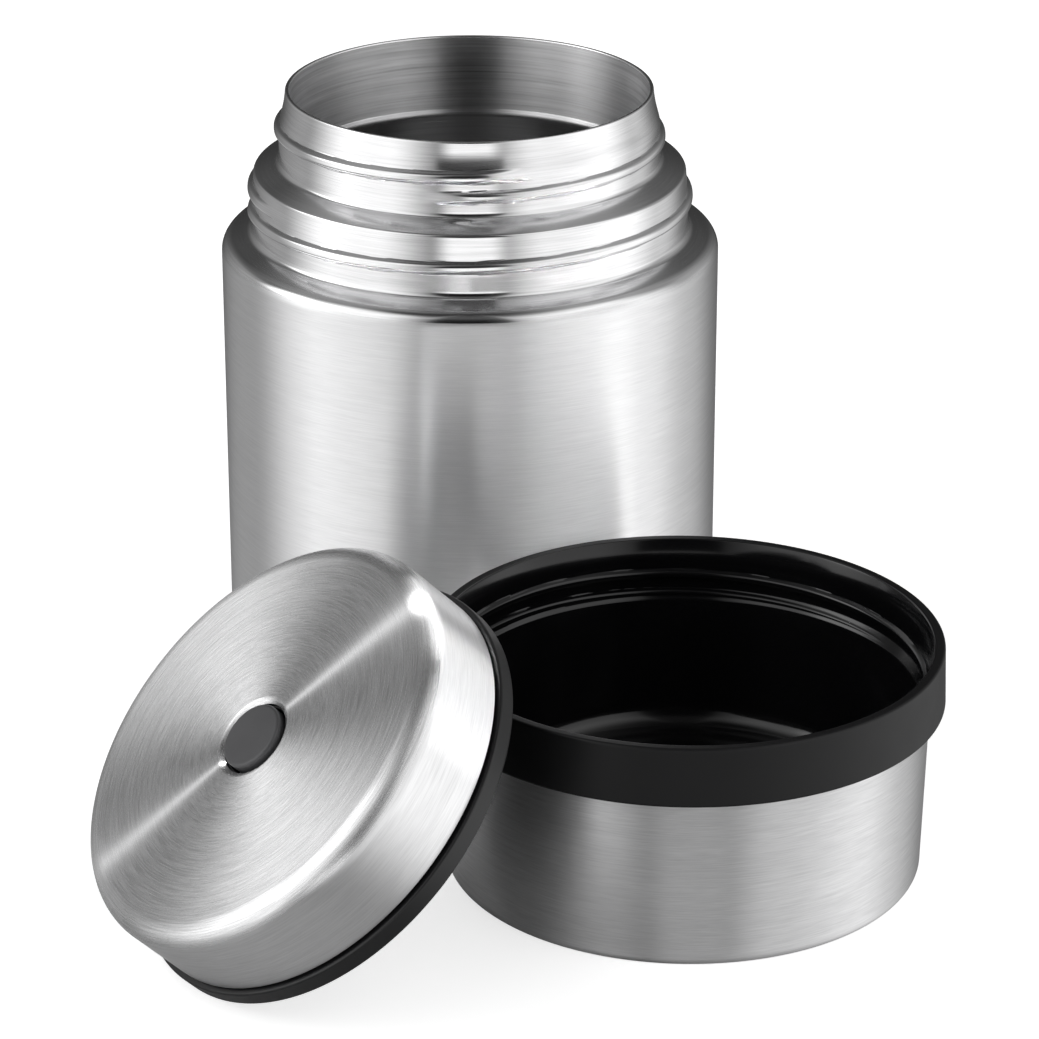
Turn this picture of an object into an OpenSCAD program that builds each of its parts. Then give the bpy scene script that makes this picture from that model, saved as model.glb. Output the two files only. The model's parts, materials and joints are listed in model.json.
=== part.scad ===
// Insulated food jar with its two screw closures taken off.
// The open jar stands upright. Its outer lid, a cup, stands mouth up beside it. Its inner lid leans
// on the rim of the cup, with its lower edge on the table.
// All lengths are millimetres. The floor is z = 0, and the origin lies under the middle of the group.

/* [Jar body] */
// Outer radius of the body
body_r = 50; // [47:0.5:54]
// Height of the shoulder's outer corner above the floor
body_h = 91.8; // [60:1:130]
// Rounding of the shoulder's outer corner
shoulder_round = 3; // [1.5:0.1:4]
// Run of the sloping shoulder, from the body's side to the lower neck
shoulder_w = 6.1; // [5:0.1:9]
// Rise of the sloping shoulder
shoulder_rise = 2.2; // [1:0.1:4]
// Rounding of the bottom edge
hem_round = 2.2; // [1:0.1:3]
// Width of the turned-in hem that the jar stands on, measured from the body's side
hem_w = 5.6; // [4.5:0.1:8]
// Thickness of the outer steel sheet
outer_t = 0.4; // [0.35:0.05:0.5]

/* [Jar neck] */
// How far the lower neck draws in from its foot to its top edge
low_neck_draft = 0.6; // [0.2:0.1:1]
// Height of the lower neck, which carries the thread for the cup
low_neck_h = 12.1; // [11:0.1:16]
// Run of the sloping shelf between the two necks
shelf_w = 5; // [4.5:0.1:7]
// Rise of the sloping shelf
shelf_rise = 2.2; // [1:0.1:3]
// How far the upper neck draws in along its thread
top_neck_draft = 0.4; // [0.2:0.1:0.8]
// Height of the part above the thread that draws in to the rim
rim_draw_h = 5.8; // [5:0.1:8]
// Height of the upper neck's sheet, which carries the thread for the lid
top_neck_h = 14; // [13:0.1:15]
// How far the upper neck draws in from its thread to the rim
rim_draw = 1.24; // [0.8:0.02:1.8]
// Height of the weld bead that joins the two walls at the rim
rim_bead_h = 0.4; // [0.3:0.05:0.6]
// Rounding of the neck's edges
neck_round = 0.8; // [0.5:0.1:1]
// Large rounding where the upper neck draws in
neck_bend = 30; // [10:1:40]

/* [Inner vessel] */
// Thickness of the inner steel sheet
inner_t = 0.4; // [0.3:0.05:0.5]
// Vacuum gap between the walls of the body
vacuum_gap = 3.3; // [2.5:0.1:5]
// Gap between the two sheets at the rim
sheet_gap = 0.03; // [0.02:0.01:0.05]
// Depth of the straight mouth below the sheet's end
mouth_h = 16.4; // [14:0.1:18]
// Height of the flare between the mouth and the chamber
flare_h = 24; // [22:0.5:30]
// Rounding of the mouth's lower edge
flare_round = 2; // [1:0.1:4]
// Rounding where the flare meets the chamber
chamber_round = 8; // [4:0.5:12]
// Height of the chamber's floor
vessel_floor_z = 6.8; // [6:0.1:12]
// Rounding between the chamber's wall and floor
vessel_round = 12; // [6:0.5:16]

/* [Jar base] */
// Thickness of the base plate
base_t = 0.5; // [0.4:0.05:0.7]
// How far the base plate laps over the hem
base_lap = 2.6; // [2:0.1:3]
// Rise of the base plate's recessed middle
base_recess = 1.5; // [1:0.1:2]
// Distance of the recessed middle from the body's side
base_recess_w = 11; // [9:0.5:18]
// Run of the slope around the recessed middle
base_slope = 2.6; // [2:0.1:4]
// Radius of the port through which the air was drawn out
port_r = 1; // [0.8:0.1:1.5]
// Radius of the seal over the port
seal_r = 3; // [2.5:0.1:5]
// Thickness of the seal over the port
seal_t = 0.6; // [0.4:0.1:0.9]
// Radius of the getter, which takes up the last gas in the vacuum
getter_r = 5; // [3:0.5:7]
// Thickness of the getter
getter_t = 1.6; // [1:0.1:2]
// Distance of the getter from the jar's axis
getter_x = 14; // [12:0.5:25]
// Thickness of the heat-reflecting foil round the chamber
foil_t = 0.15; // [0.1:0.05:0.3]
// Distance of the foil's edges from the chamber's rounded ends
foil_margin = 1.5; // [0.5:0.5:10]

/* [Threads] */
// Rise of every thread in one turn
thread_pitch = 4; // [3.8:0.1:4.2]
// Height of the beads rolled into the necks
bead_h = 1; // [0.9:0.05:1.15]
// Width of the beads rolled into the necks
bead_w = 2.4; // [2:0.1:2.6]
// Radial clearance of the beads in the closures, at each neck's foot
thread_clear = 0.05; // [0.05:0.05:0.3]
// Turns of the upper neck's bead
top_bead_turns = 1.05; // [0.8:0.01:1.15]
// Direction in which the upper neck's bead starts
top_bead_start = 262; // [0:1:360]
// Height of that start above the upper neck's foot
top_bead_z = 3.65; // [3:0.05:4.2]
// Turns of the lower neck's bead
low_bead_turns = 1.12; // [0.8:0.01:1.2]
// Direction in which the lower neck's bead starts
low_bead_start = 172; // [0:1:360]
// Height of that start above the lower neck's foot
low_bead_z = 4.75; // [3.6:0.05:5]
// Depth of the ridges moulded into the lid and the cup
ridge_h = 0.95; // [0.8:0.05:1]
// Width of those ridges
ridge_w = 1.8; // [1.4:0.1:2]
// Turns of the lid's ridge
lid_ridge_turns = 1.1; // [0.8:0.05:1.3]
// Height of the lid's ridge above the lid's lower edge, at its start
lid_ridge_z = 3.4; // [2.4:0.1:4]
// Turns of the cup's ridge
cup_ridge_turns = 1.5; // [1:0.05:1.6]
// Direction in which the cup's ridge starts
cup_ridge_start = 0; // [0:1:360]
// Depth of the cup's ridge under the cup's rim, at its start
cup_ridge_depth = 11.9; // [11.5:0.1:12.2]

/* [Cup] */
// Room over the lid when the cup is screwed on, which sets the cup's height
cup_room = 1.7; // [1.2:0.1:20]
// Height of the black band
band_h = 11.3; // [10.8:0.1:12]
// Width of the rim
lip_w = 1.9; // [1.7:0.1:2.3]
// How far the black band widens from the rim to its lower edge
band_draft = 0.4; // [0:0.1:1]
// Rounding of the rim
lip_round = 0.8; // [0.5:0.05:0.85]
// How far the lip flares out above the ridge's zone
lip_flare = 1.15; // [0.8:0.05:1.5]
// Depth at which the lip has narrowed to the ridge's zone
cup_root_depth = 3; // [2.5:0.1:4]
// Depth of the ridge's zone
cup_zone_depth = 10.9; // [10.7:0.1:11]
// Radial clearance of the cup's wall round the lower neck's top edge
cup_clear = 0.3; // [0.2:0.05:0.35]
// How far the cup's inner wall draws in towards its floor
cup_draft = 1.6; // [1.2:0.1:2]
// Rounding between the cup's inner wall and floor
cup_floor_round = 5; // [3:0.5:8]
// Height of the cup's inner floor
cup_floor_z = 7; // [6:0.1:9]
// Thickness of the liner's floor
liner_floor_t = 1.8; // [1.2:0.1:2.4]
// Thickness of the liner's wall
liner_t = 1.2; // [1:0.05:1.25]
// Thickness of the liner where the steel shell grips it
grip_t = 0.2; // [0.2:0.05:0.5]
// How far the steel shell draws in towards its foot
cup_steel_draft = 0.9; // [0.4:0.1:1.1]
// Thickness of the steel shell
cup_steel_t = 0.4; // [0.3:0.05:0.4]
// How far the steel shell runs up into the band's groove
band_groove = 1; // [0.6:0.1:1.4]
// Rounding of the steel shell's bottom edge
cup_foot_round = 1.6; // [1:0.1:2.5]
// Distance of the steel bottom's recessed middle from the shell's side
cup_recess_w = 7.7; // [6:0.1:14]
// Rise of the steel bottom's recessed middle
cup_recess = 1.1; // [0.6:0.1:1.4]

/* [Lid] */
// How far the steel cover widens towards its lower edge
cover_draft = 0.08; // [0.04:0.02:0.3]
// Height of the hollow between the web and the steel cover's top
cover_room = 3.2; // [3:0.1:6]
// Height of the steel cover's lower edge above the lid's lower edge
cover_lip_z = 4.1; // [3.9:0.05:4.6]
// Rounding of the steel cover's upper edge
cover_round = 4; // [3:0.1:5]
// Thickness of the steel cover
cover_t = 0.4; // [0.3:0.05:0.4]
// Gap between the button and the edge of the cover's hole
hole_gap = 0.7; // [0.65:0.05:1.1]
// Drop of the hole's rolled edge
hole_drop = 0.7; // [0.6:0.05:0.9]
// Rounding of the hole's rolled edge
hole_round = 0.9; // [0.7:0.05:1]
// Width of the lid's black ring
ring_w = 2.42; // [2.1:0.02:2.6]
// Height of the lid's black ring
ring_h = 3.6; // [3:0.1:3.7]
// Rounding of the black ring's outer edges
ring_round = 0.45; // [0.3:0.05:0.6]
// Thickness of the lid's threaded skirt
skirt_t = 0.82; // [0.7:0.02:1]
// Rise of the lid's seat above the height of the upper neck
seat_rise = 0.7; // [0.6:0.1:1]
// Thickness of the web that carries the seal and closes the plug
web_t = 1.6; // [1.2:0.1:1.8]

/* [Plug and seal] */
// Radial clearance of the insulated plug in the mouth
plug_clear = 1.2; // [1:0.1:2]
// How far the plug reaches below the lid's lower edge
plug_drop = 6.5; // [4:0.1:8]
// Thickness of the plug's wall and floor
plug_t = 1.6; // [1.2:0.1:2]
// Rounding of the plug's lower edge
plug_round = 2; // [1:0.1:3]
// Width of the sealing ring
seal_ring_w = 3.5; // [3:0.1:4]
// Thickness of the sealing ring
seal_ring_t = 1.5; // [1.2:0.1:1.8]
// Height of the lip under the sealing ring's inner edge
seal_lip_h = 1.4; // [1:0.1:2]
// Width of that lip
seal_lip_w = 0.9; // [0.6:0.1:1]

/* [Vent button] */
// Radius of the button
button_r = 6.35; // [6:0.05:6.4]
// Height of the button's face above the cover's top
button_proud = 0.6; // [0.4:0.1:1.2]
// Rounding of the button's edge
button_round = 0.5; // [0.3:0.05:0.8]
// Height of the button's side
button_h = 5.4; // [4.5:0.1:6]
// Thickness of the button's walls
button_t = 1.2; // [1:0.1:1.5]
// Travel of the button
button_travel = 1.6; // [1:0.1:2]
// Radial clearance of the button in its well
button_clear = 0.28; // [0.25:0.01:0.3]
// Thickness of the well's wall
well_t = 1.3; // [1:0.1:1.6]
// Room for the spring under the pressed button
spring_room = 5; // [4:0.1:6]
// Thickness of the well's floor
well_floor_t = 1.5; // [1.2:0.1:2]
// Radius of the stem
stem_r = 1.6; // [1.4:0.05:1.8]
// Gap of the vent passage round the stem
vent_gap = 1; // [0.8:0.1:1.2]
// Wall of the vent passage
vent_wall = 1.4; // [1:0.1:1.6]
// How far the valve's seal laps the passage's edge
valve_lap = 2; // [1.6:0.1:2.4]
// Thickness of the valve's seal
valve_t = 1; // [0.8:0.1:1.2]
// Thickness of the clip that holds the seal on the stem
clip_t = 0.5; // [0.4:0.1:0.7]
// Width of the clip
clip_w = 1.2; // [1:0.1:1.6]
// Clearance round the seal in its pocket
pocket_clear = 0.8; // [0.5:0.1:1]
// Gap between the spring and the button's inner wall
spring_clear = 0.9; // [0.8:0.1:1.1]
// Radius of the spring's wire
wire_r = 0.35; // [0.3:0.05:0.4]
// Turns of the spring
spring_turns = 5.5; // [4:0.5:6]

/* [Arrangement] */
// Gap between the jar and the cup
cup_gap = 3.1; // [1:0.1:40]
// Direction of the cup from the jar's axis
cup_bearing = -66.3; // [-110:0.1:-30]
// Direction in which the leaning lid's top faces, from above
lean_dir = 209; // [190:0.5:215]
// Share of the plug's radius at which the plug meets the cup's rim, which sets how steeply the lid leans
lean_share = 0.837; // [0.6:0.001:0.9]
// Sideways place of the lid on the cup's rim
lid_side = -1.5; // [-10:0.1:10]
// Gap between the plug and the cup's rim that it leans on
lean_gap = 0.3; // [0.3:0.05:0.5]

/* [Hidden] */
$fn = 96;
// Steps of every rounded corner
arc_steps = 6;
// Angle between the rings of a thread
thread_step = 7.5;
// Steps across a thread
thread_sides = 8;
// Length over which a thread fades out, in degrees
thread_fade = 24;
// How deep a thread's root is sunk into its wall
thread_sink = 0.25;
// Rings in one turn of the spring, and sides of its wire
coil_rings = 14;
wire_sides = 6;
// Overrun of every cut
cut = 1;
// Gap between pieces that are pressed or glued together
seam = 0.05;
// Gap round foam and loose fillings
loose = 0.3;

steel = [0.74, 0.74, 0.75];
bright_steel = [0.82, 0.82, 0.83];
black = [0.07, 0.07, 0.075];
dark_grey = [0.3, 0.3, 0.31];
silicone = [0.62, 0.63, 0.64];
foam = [0.9, 0.88, 0.8];

// Outer radii of the jar's necks, each at its foot and where it ends
low_neck_foot_r = body_r - shoulder_w;
low_neck_top_r = low_neck_foot_r - low_neck_draft;
top_neck_foot_r = low_neck_top_r - shelf_w;
top_neck_mid_r = top_neck_foot_r - top_neck_draft;
rim_r = top_neck_mid_r - rim_draw;

// Heights of the jar
low_foot_z = body_h + shoulder_rise;
shelf_z = low_foot_z + low_neck_h;
top_foot_z = shelf_z + shelf_rise;
sheet_end_z = top_foot_z + top_neck_h;
top_neck_mid_h = top_neck_h - rim_draw_h;
rim_z = sheet_end_z + rim_bead_h;

// Radii of the inner vessel, on the vacuum side
mouth_r = rim_r - outer_t - sheet_gap;
vessel_r = body_r - outer_t - vacuum_gap;
mouth_foot_z = sheet_end_z - mouth_h;
flare_foot_z = mouth_foot_z - flare_h;

// Radii of the base plate
base_recess_r = body_r - base_recess_w;
base_lap_r = body_r - hem_w + base_lap;

// Radii of the lid, from the upper neck that it screws on and the mouth that its plug enters
skirt_r = top_neck_foot_r + bead_h + thread_clear;
skirt_outer_r = skirt_r + skirt_t;
cover_r = skirt_outer_r + seam + cover_t;
cover_lip_r = cover_r + cover_draft;
ring_r = skirt_r + ring_w;
plug_r = mouth_r - inner_t - plug_clear;
seal_ring_r = plug_r + seam + seal_ring_w;

// Heights of the lid above its lower edge
seat_z = top_neck_h + rim_bead_h + seat_rise;
web_z = seat_z + seal_ring_t;
cover_top = web_z + web_t + cover_room;
plug_floor_z = plug_t - plug_drop;

// Sizes of the button and its well
cover_hole_r = button_r + hole_gap;
well_r = button_r + button_clear;
well_outer_r = well_r + well_t;
well_top_z = cover_top - hole_drop - cover_t - loose;
button_top_z = cover_top + button_proud;
well_floor_z = button_top_z - button_h - button_travel - spring_room;
spring_r = button_r - button_t - spring_clear - wire_r;
vent_r = stem_r + vent_gap;
valve_r = vent_r + valve_lap;
valve_z = valve_t + clip_t - plug_drop;
clip_r = stem_r + clip_w;

// Radii of the cup, from the lower neck that it screws on
cup_root_r = low_neck_foot_r + bead_h + thread_clear;
cup_lip_r = cup_root_r + lip_flare;
cup_rim_r = cup_lip_r + lip_w;
band_r = cup_rim_r + band_draft;
cup_wall_r = low_neck_top_r + cup_clear;
cup_floor_r = cup_wall_r - cup_draft;
cup_steel_top_r = cup_root_r + grip_t + seam + cup_steel_t;
cup_steel_foot_r = cup_steel_top_r - cup_steel_draft;
cup_recess_r = cup_steel_foot_r - cup_recess_w;

// Heights of the cup, from the neck and the lid that it covers
cup_h = cup_floor_z + low_neck_h + shelf_rise + button_top_z + cup_room;
band_z = cup_h - band_h;
cup_zone_z = cup_h - cup_zone_depth;

// Height angle of the leaning lid's axis, from the lower edge on the floor and the plug on the cup's rim
lean_run = ring_r - ring_round + lean_share * plug_r;
lean_step = ring_round + plug_drop + lean_gap + lip_round;
lean_angle = acos((cup_h - lip_round - ring_round) / norm([lean_run, lean_step])) - atan2(lean_step, lean_run);

// Where the lid leans
up = sin(lean_angle);
out = cos(lean_angle);
lid_z = (ring_r - ring_round) * out + ring_round * (1 - up);
lean_reach = (cup_rim_r - lip_round) + ((cup_h - lip_round - lid_z) * up + lip_round + plug_drop + lean_gap) / out;

// Plan of the group round the jar's axis
cup_dist = body_r + band_r + cup_gap;
cup_at = cup_dist * [cos(cup_bearing), sin(cup_bearing)];
lid_at = cup_at + lean_reach * [cos(lean_dir), sin(lean_dir)] + lid_side * [-sin(lean_dir), cos(lean_dir)];

// Reach of the leaning lid from its centre in one level direction
function cover_reach(dir) = (cover_top - cover_round) * out * dir
    + (cover_r - cover_round) * sqrt(1 - pow(out * dir, 2)) + cover_round;
function ring_reach(dir) = ring_h * out * dir + ring_r * sqrt(1 - pow(out * dir, 2));
function lid_reach(dir) = max(cover_reach(dir), ring_reach(dir));

// The origin lies under the middle of the group
low_x = min(-body_r, lid_at[0] - lid_reach(-cos(lean_dir)));
high_x = max(body_r, cup_at[0] + band_r);
low_y = min(cup_at[1] - band_r, lid_at[1] - lid_reach(-sin(lean_dir)));
high_y = body_r;
jar_at = -[low_x + high_x, low_y + high_y] / 2;

// Unit vector, and direction from one point of a path to the next
function unit(v) = v / norm(v);
function way(a, b) = unit([b[0] - a[0], b[1] - a[1]]);
function left(d) = [-d[1], d[0]];
function backward(p) = [for (i = [len(p) - 1 : -1 : 0]) p[i]];

// Points of a corner, rounded by its third value
function corner(a, b, c) = b[2] == 0 ? [[b[0], b[1]]] : let (
    u = way(b, a),
    v = way(b, c),
    half = acos(u * v) / 2,
    mid = [b[0], b[1]] + unit(u + v) * b[2] / sin(half),
    start = [b[0], b[1]] + u * b[2] / tan(half) - mid,
    stop = [b[0], b[1]] + v * b[2] / tan(half) - mid,
    from = atan2(start[1], start[0]),
    turn = (atan2(stop[1], stop[0]) - from + 540) % 360 - 180
) [for (i = [0 : arc_steps]) mid + b[2] * [cos(from + turn * i / arc_steps), sin(from + turn * i / arc_steps)]];

// An open path of corners [radius, height, rounding], with its ends kept
function soften(p) = [for (i = [0 : len(p) - 1])
    each i == 0 || i == len(p) - 1 ? [[p[i][0], p[i][1]]] : corner(p[i - 1], p[i], p[i + 1])];

// A closed outline of such corners
function outline(p) = [for (i = [0 : len(p) - 1])
    each corner(p[(i + len(p) - 1) % len(p)], p[i], p[(i + 1) % len(p)])];

// The same path moved to its left by t
function aside(p, t) = [for (i = [0 : len(p) - 1]) let (
    d0 = i == 0 ? way(p[0], p[1]) : way(p[i - 1], p[i]),
    d1 = i == len(p) - 1 ? d0 : way(p[i], p[i + 1]),
    m = (left(d0) + left(d1)) / (1 + left(d0) * left(d1)),
    bend = d0[0] * d1[1] - d0[1] * d1[0] > 0 ? -t : t
) [p[i][0] + m[0] * t, p[i][1] + m[1] * t, p[i][2] == 0 ? 0 : p[i][2] + bend]];

// Sheet of even thickness along a path, turned about the axis
module sheet(p, t) {
    rotate_extrude()
        polygon(concat(soften(p), backward(soften(aside(p, t)))));
}

// Ring between two radii and two heights
module ring(r0, r1, z0, z1) {
    rotate_extrude()
        translate([r0, z0])
            square([r1 - r0, z1 - z0]);
}

// Share of a thread's full height at one place, from its nearer end
function fade_in(a) = pow(sin(90 * min(1, a / thread_fade)), 2);

// Thread that winds up a wall. wall(z) is the wall's radius; side is 1 for a bead and -1 for a ridge.
module thread(wall, side, z0, start, turns, h, w) {
    rings = ceil(turns * 360 / thread_step);
    points = [for (i = [0 : rings]) let (
        a = turns * 360 * i / rings,
        crest = fade_in(min(a, turns * 360 - a)) * (h + thread_sink / 2) - thread_sink / 2
    ) for (k = [0 : thread_sides]) let (
        b = 180 * k / thread_sides - 90,
        z = z0 + thread_pitch * a / 360 + w / 2 * sin(b),
        r = wall(z) + side * ((crest + thread_sink) * cos(b) - thread_sink)
    ) [r * cos(start + a), r * sin(start + a), z]];
    row = thread_sides + 1;
    faces = concat(
        [[for (k = [thread_sides : -1 : 0]) k]],
        [[for (k = [0 : thread_sides]) rings * row + k]],
        [for (i = [0 : rings - 1], k = [0 : thread_sides]) let (n = (k + 1) % row)
            [i * row + k, i * row + n, (i + 1) * row + n]],
        [for (i = [0 : rings - 1], k = [0 : thread_sides]) let (n = (k + 1) % row)
            [i * row + k, (i + 1) * row + n, (i + 1) * row + k]]);
    polyhedron(points, side > 0 ? faces : [for (f = faces) backward(f)]);
}

// Spring of round wire, wound up its axis
module coil(r, wire, z0, z1, turns) {
    rings = ceil(turns * coil_rings);
    points = [for (i = [0 : rings]) let (a = turns * 360 * i / rings)
        for (k = [0 : wire_sides - 1]) let (b = 360 * k / wire_sides, d = r + wire * cos(b))
        [d * cos(a), d * sin(a), z0 + wire + (z1 - z0 - 2 * wire) * i / rings + wire * sin(b)]];
    faces = concat(
        [[for (k = [wire_sides - 1 : -1 : 0]) k]],
        [[for (k = [0 : wire_sides - 1]) rings * wire_sides + k]],
        [for (i = [0 : rings - 1], k = [0 : wire_sides - 1]) let (n = (k + 1) % wire_sides)
            [i * wire_sides + k, i * wire_sides + n, (i + 1) * wire_sides + n]],
        [for (i = [0 : rings - 1], k = [0 : wire_sides - 1]) let (n = (k + 1) % wire_sides)
            [i * wire_sides + k, (i + 1) * wire_sides + n, (i + 1) * wire_sides + k]]);
    polyhedron(points, faces);
}

// Places of the three groups
module in_jar() {
    translate([jar_at[0], jar_at[1], 0])
        children();
}

module in_cup() {
    translate([jar_at[0] + cup_at[0], jar_at[1] + cup_at[1], 0])
        children();
}

module in_lid() {
    translate([jar_at[0] + lid_at[0], jar_at[1] + lid_at[1], lid_z])
        rotate([0, 0, lean_dir])
            rotate([0, 90 - lean_angle, 0])
                children();
}

// Wall radii that the threads follow
function top_neck_wall(z) = top_neck_foot_r + (top_neck_mid_r - top_neck_foot_r) * (z - top_foot_z) / top_neck_mid_h;
function low_neck_wall(z) = low_neck_foot_r + (low_neck_top_r - low_neck_foot_r) * (z - low_foot_z) / low_neck_h;

function cup_steel_wall(z) = cup_steel_foot_r + (cup_steel_top_r - cup_steel_foot_r) * z / (band_z + band_groove);

// Body, shoulder and both necks, drawn from one steel tube, with the two rolled beads
module outer_shell() {
    shell_path = [
        [body_r - hem_w, 0, 0],
        [body_r, 0, hem_round],
        [body_r, body_h, shoulder_round],
        [low_neck_foot_r, low_foot_z, neck_round],
        [low_neck_top_r, shelf_z, neck_round],
        [top_neck_foot_r, top_foot_z, neck_round],
        [top_neck_mid_r, top_foot_z + top_neck_mid_h, neck_bend],
        [rim_r, sheet_end_z, 0]];
    color(steel)
        in_jar() {
            union() {
                sheet(shell_path, outer_t);
                thread(function (z) top_neck_wall(z), 1, top_foot_z + top_bead_z, top_bead_start,
                    top_bead_turns, bead_h, bead_w);
                thread(function (z) low_neck_wall(z), 1, low_foot_z + low_bead_z, low_bead_start,
                    low_bead_turns, bead_h, bead_w);
            }
        }
}

// Straight mouth, flare and round-bottomed chamber for the food
module inner_vessel() {
    vessel_path = [
        [0, vessel_floor_z - inner_t, 0],
        [vessel_r, vessel_floor_z - inner_t, vessel_round],
        [vessel_r, flare_foot_z, chamber_round],
        [mouth_r, mouth_foot_z, flare_round],
        [mouth_r, sheet_end_z, 0]];
    color(steel)
        in_jar()
            sheet(vessel_path, inner_t);
}

// Weld bead over the ends of both sheets
module rim_weld() {
    bead_path = [
        [mouth_r - inner_t, sheet_end_z, 0],
        [rim_r, sheet_end_z, 0],
        [rim_r, rim_z, rim_bead_h * 0.9],
        [mouth_r - inner_t, rim_z, rim_bead_h * 0.9]];
    color(bright_steel)
        in_jar()
            rotate_extrude()
                polygon(outline(bead_path));
}

// Stamped plate that closes the vacuum at the bottom, lapped over the hem
module base_plate() {
    plate_path = [
        [0, outer_t + base_recess, 0],
        [base_recess_r, outer_t + base_recess, base_t * 2],
        [base_recess_r + base_slope, outer_t, base_t * 2],
        [base_lap_r, outer_t, 0]];
    color(steel)
        in_jar()
            difference() {
                sheet(plate_path, base_t);
                cylinder(h = 2 * (outer_t + base_recess + base_t), r = port_r);
            }
}

// Seal in and under the port
module port_seal() {
    color(bright_steel)
        in_jar()
            rotate_extrude()
                polygon(outline([
                    [0, outer_t + base_recess - seal_t, 0],
                    [seal_r, outer_t + base_recess - seal_t, seal_t / 2],
                    [seal_r, outer_t + base_recess, 0],
                    [port_r - seam, outer_t + base_recess, 0],
                    [port_r - seam, outer_t + base_recess + base_t, 0],
                    [0, outer_t + base_recess + base_t, 0]]));
}

// Getter on the vacuum side of the base plate
module getter() {
    color(dark_grey)
        in_jar()
            translate([getter_x, 0, outer_t + base_recess + base_t])
                cylinder(h = getter_t, r = getter_r);
}

// Foil round the chamber
module foil() {
    color(bright_steel)
        in_jar()
            ring(vessel_r + seam, vessel_r + seam + foil_t,
                vessel_floor_z + vessel_round + foil_margin, flare_foot_z - chamber_round / 2 - foil_margin);
}

// Steel shell of the cup, with a recessed bottom
module cup_shell() {
    shell_path = [
        [0, cup_recess, 0],
        [cup_recess_r, cup_recess, cup_recess],
        [cup_recess_r + 2 * cup_recess, 0, cup_recess],
        [cup_steel_foot_r, 0, cup_foot_round],
        [cup_steel_top_r, band_z + band_groove, 0]];
    color(steel)
        in_cup()
            sheet(shell_path, cup_steel_t);
}

// Black liner with the lip, the band that overhangs the steel and the ridge inside
module cup_liner() {
    groove_z = band_z + band_groove;
    meet_z = band_z - ridge_w;
    under_z = cup_floor_z - liner_floor_t;
    liner_outline = [
        [0, under_z, 0],
        [cup_floor_r - cup_floor_round + liner_t, under_z, 0],
        [cup_floor_r + liner_t, cup_floor_z + cup_floor_round - liner_floor_t, 0],
        [cup_wall_r + liner_t, meet_z - liner_t, 0],
        [cup_steel_wall(meet_z) - cup_steel_t - seam, meet_z, 0],
        [cup_steel_wall(groove_z) - cup_steel_t - seam, groove_z + seam, 0],
        [cup_steel_top_r + seam, groove_z + seam, 0],
        [cup_steel_top_r + seam, band_z, 0],
        [band_r, band_z, lip_round / 2],
        [cup_rim_r, cup_h, lip_round],
        [cup_lip_r, cup_h, lip_round],
        [cup_root_r, cup_h - cup_root_depth, lip_round * 2],
        [cup_root_r, cup_zone_z + ridge_h, lip_round],
        [cup_wall_r, cup_zone_z - ridge_h, lip_round],
        [cup_floor_r, cup_floor_z, cup_floor_round],
        [0, cup_floor_z, 0]];
    color(black)
        in_cup()
            union() {
                rotate_extrude()
                    polygon(outline(liner_outline));
                thread(function (z) cup_root_r, -1, cup_h - cup_ridge_depth, cup_ridge_start,
                    cup_ridge_turns, ridge_h, ridge_w);
            }
}

// Insulating disc between the steel bottom and the liner's floor
module cup_foam() {
    color(foam)
        in_cup()
            ring(0, cup_recess_r - loose, cup_recess + cup_steel_t + seam, cup_floor_z - liner_floor_t - seam);
}

// Steel cover with a rolled hole for the button
module lid_cover() {
    cover_path = [
        [cover_lip_r, cover_lip_z, 0],
        [cover_r, cover_top, cover_round],
        [cover_hole_r + hole_round, cover_top, hole_round],
        [cover_hole_r, cover_top - hole_drop, 0]];
    color(steel)
        in_lid()
            sheet(cover_path, cover_t);
}

// Black base: protruding ring, threaded skirt, web and the button's well
module lid_base() {
    top_z = cover_top - cover_round;
    base_outline = [
        [skirt_r, 0, ring_round],
        [ring_r, 0, ring_round],
        [ring_r, ring_h, ring_round],
        [skirt_outer_r, ring_h, 0],
        [skirt_outer_r, top_z, 0],
        [skirt_r, top_z, 0],
        [skirt_r, web_z + web_t, 0],
        [well_outer_r, web_z + web_t, 0],
        [well_outer_r, well_top_z, 0],
        [well_r, well_top_z, 0],
        [well_r, well_floor_z, 0],
        [vent_r, well_floor_z, 0],
        [vent_r, well_floor_z - well_floor_t, 0],
        [well_outer_r, well_floor_z - well_floor_t, 0],
        [well_outer_r, web_z, 0],
        [skirt_r, web_z, 0]];
    color(black)
        in_lid()
            union() {
                rotate_extrude()
                    polygon(outline(base_outline));
                thread(function (z) skirt_r, -1, lid_ridge_z, 0, lid_ridge_turns, ridge_h, ridge_w);
            }
}

// Hollow plug under the web, with the vent passage and the valve's pocket
module lid_plug() {
    pocket_r = valve_r + pocket_clear;
    passage_r = vent_r + vent_wall;
    plug_outline = [
        [pocket_r, -plug_drop, 0],
        [plug_r, -plug_drop, plug_round],
        [plug_r, web_z - seam, 0],
        [plug_r - plug_t, web_z - seam, 0],
        [plug_r - plug_t, plug_floor_z, 0],
        [pocket_r + plug_t, plug_floor_z, 0],
        [pocket_r + plug_t, valve_z + plug_t, 0],
        [passage_r, valve_z + plug_t, 0],
        [passage_r, well_floor_z - well_floor_t - seam, 0],
        [vent_r, well_floor_z - well_floor_t - seam, 0],
        [vent_r, valve_z, 0],
        [pocket_r, valve_z, 0]];
    color(black)
        in_lid()
            rotate_extrude()
                polygon(outline(plug_outline));
}

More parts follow.
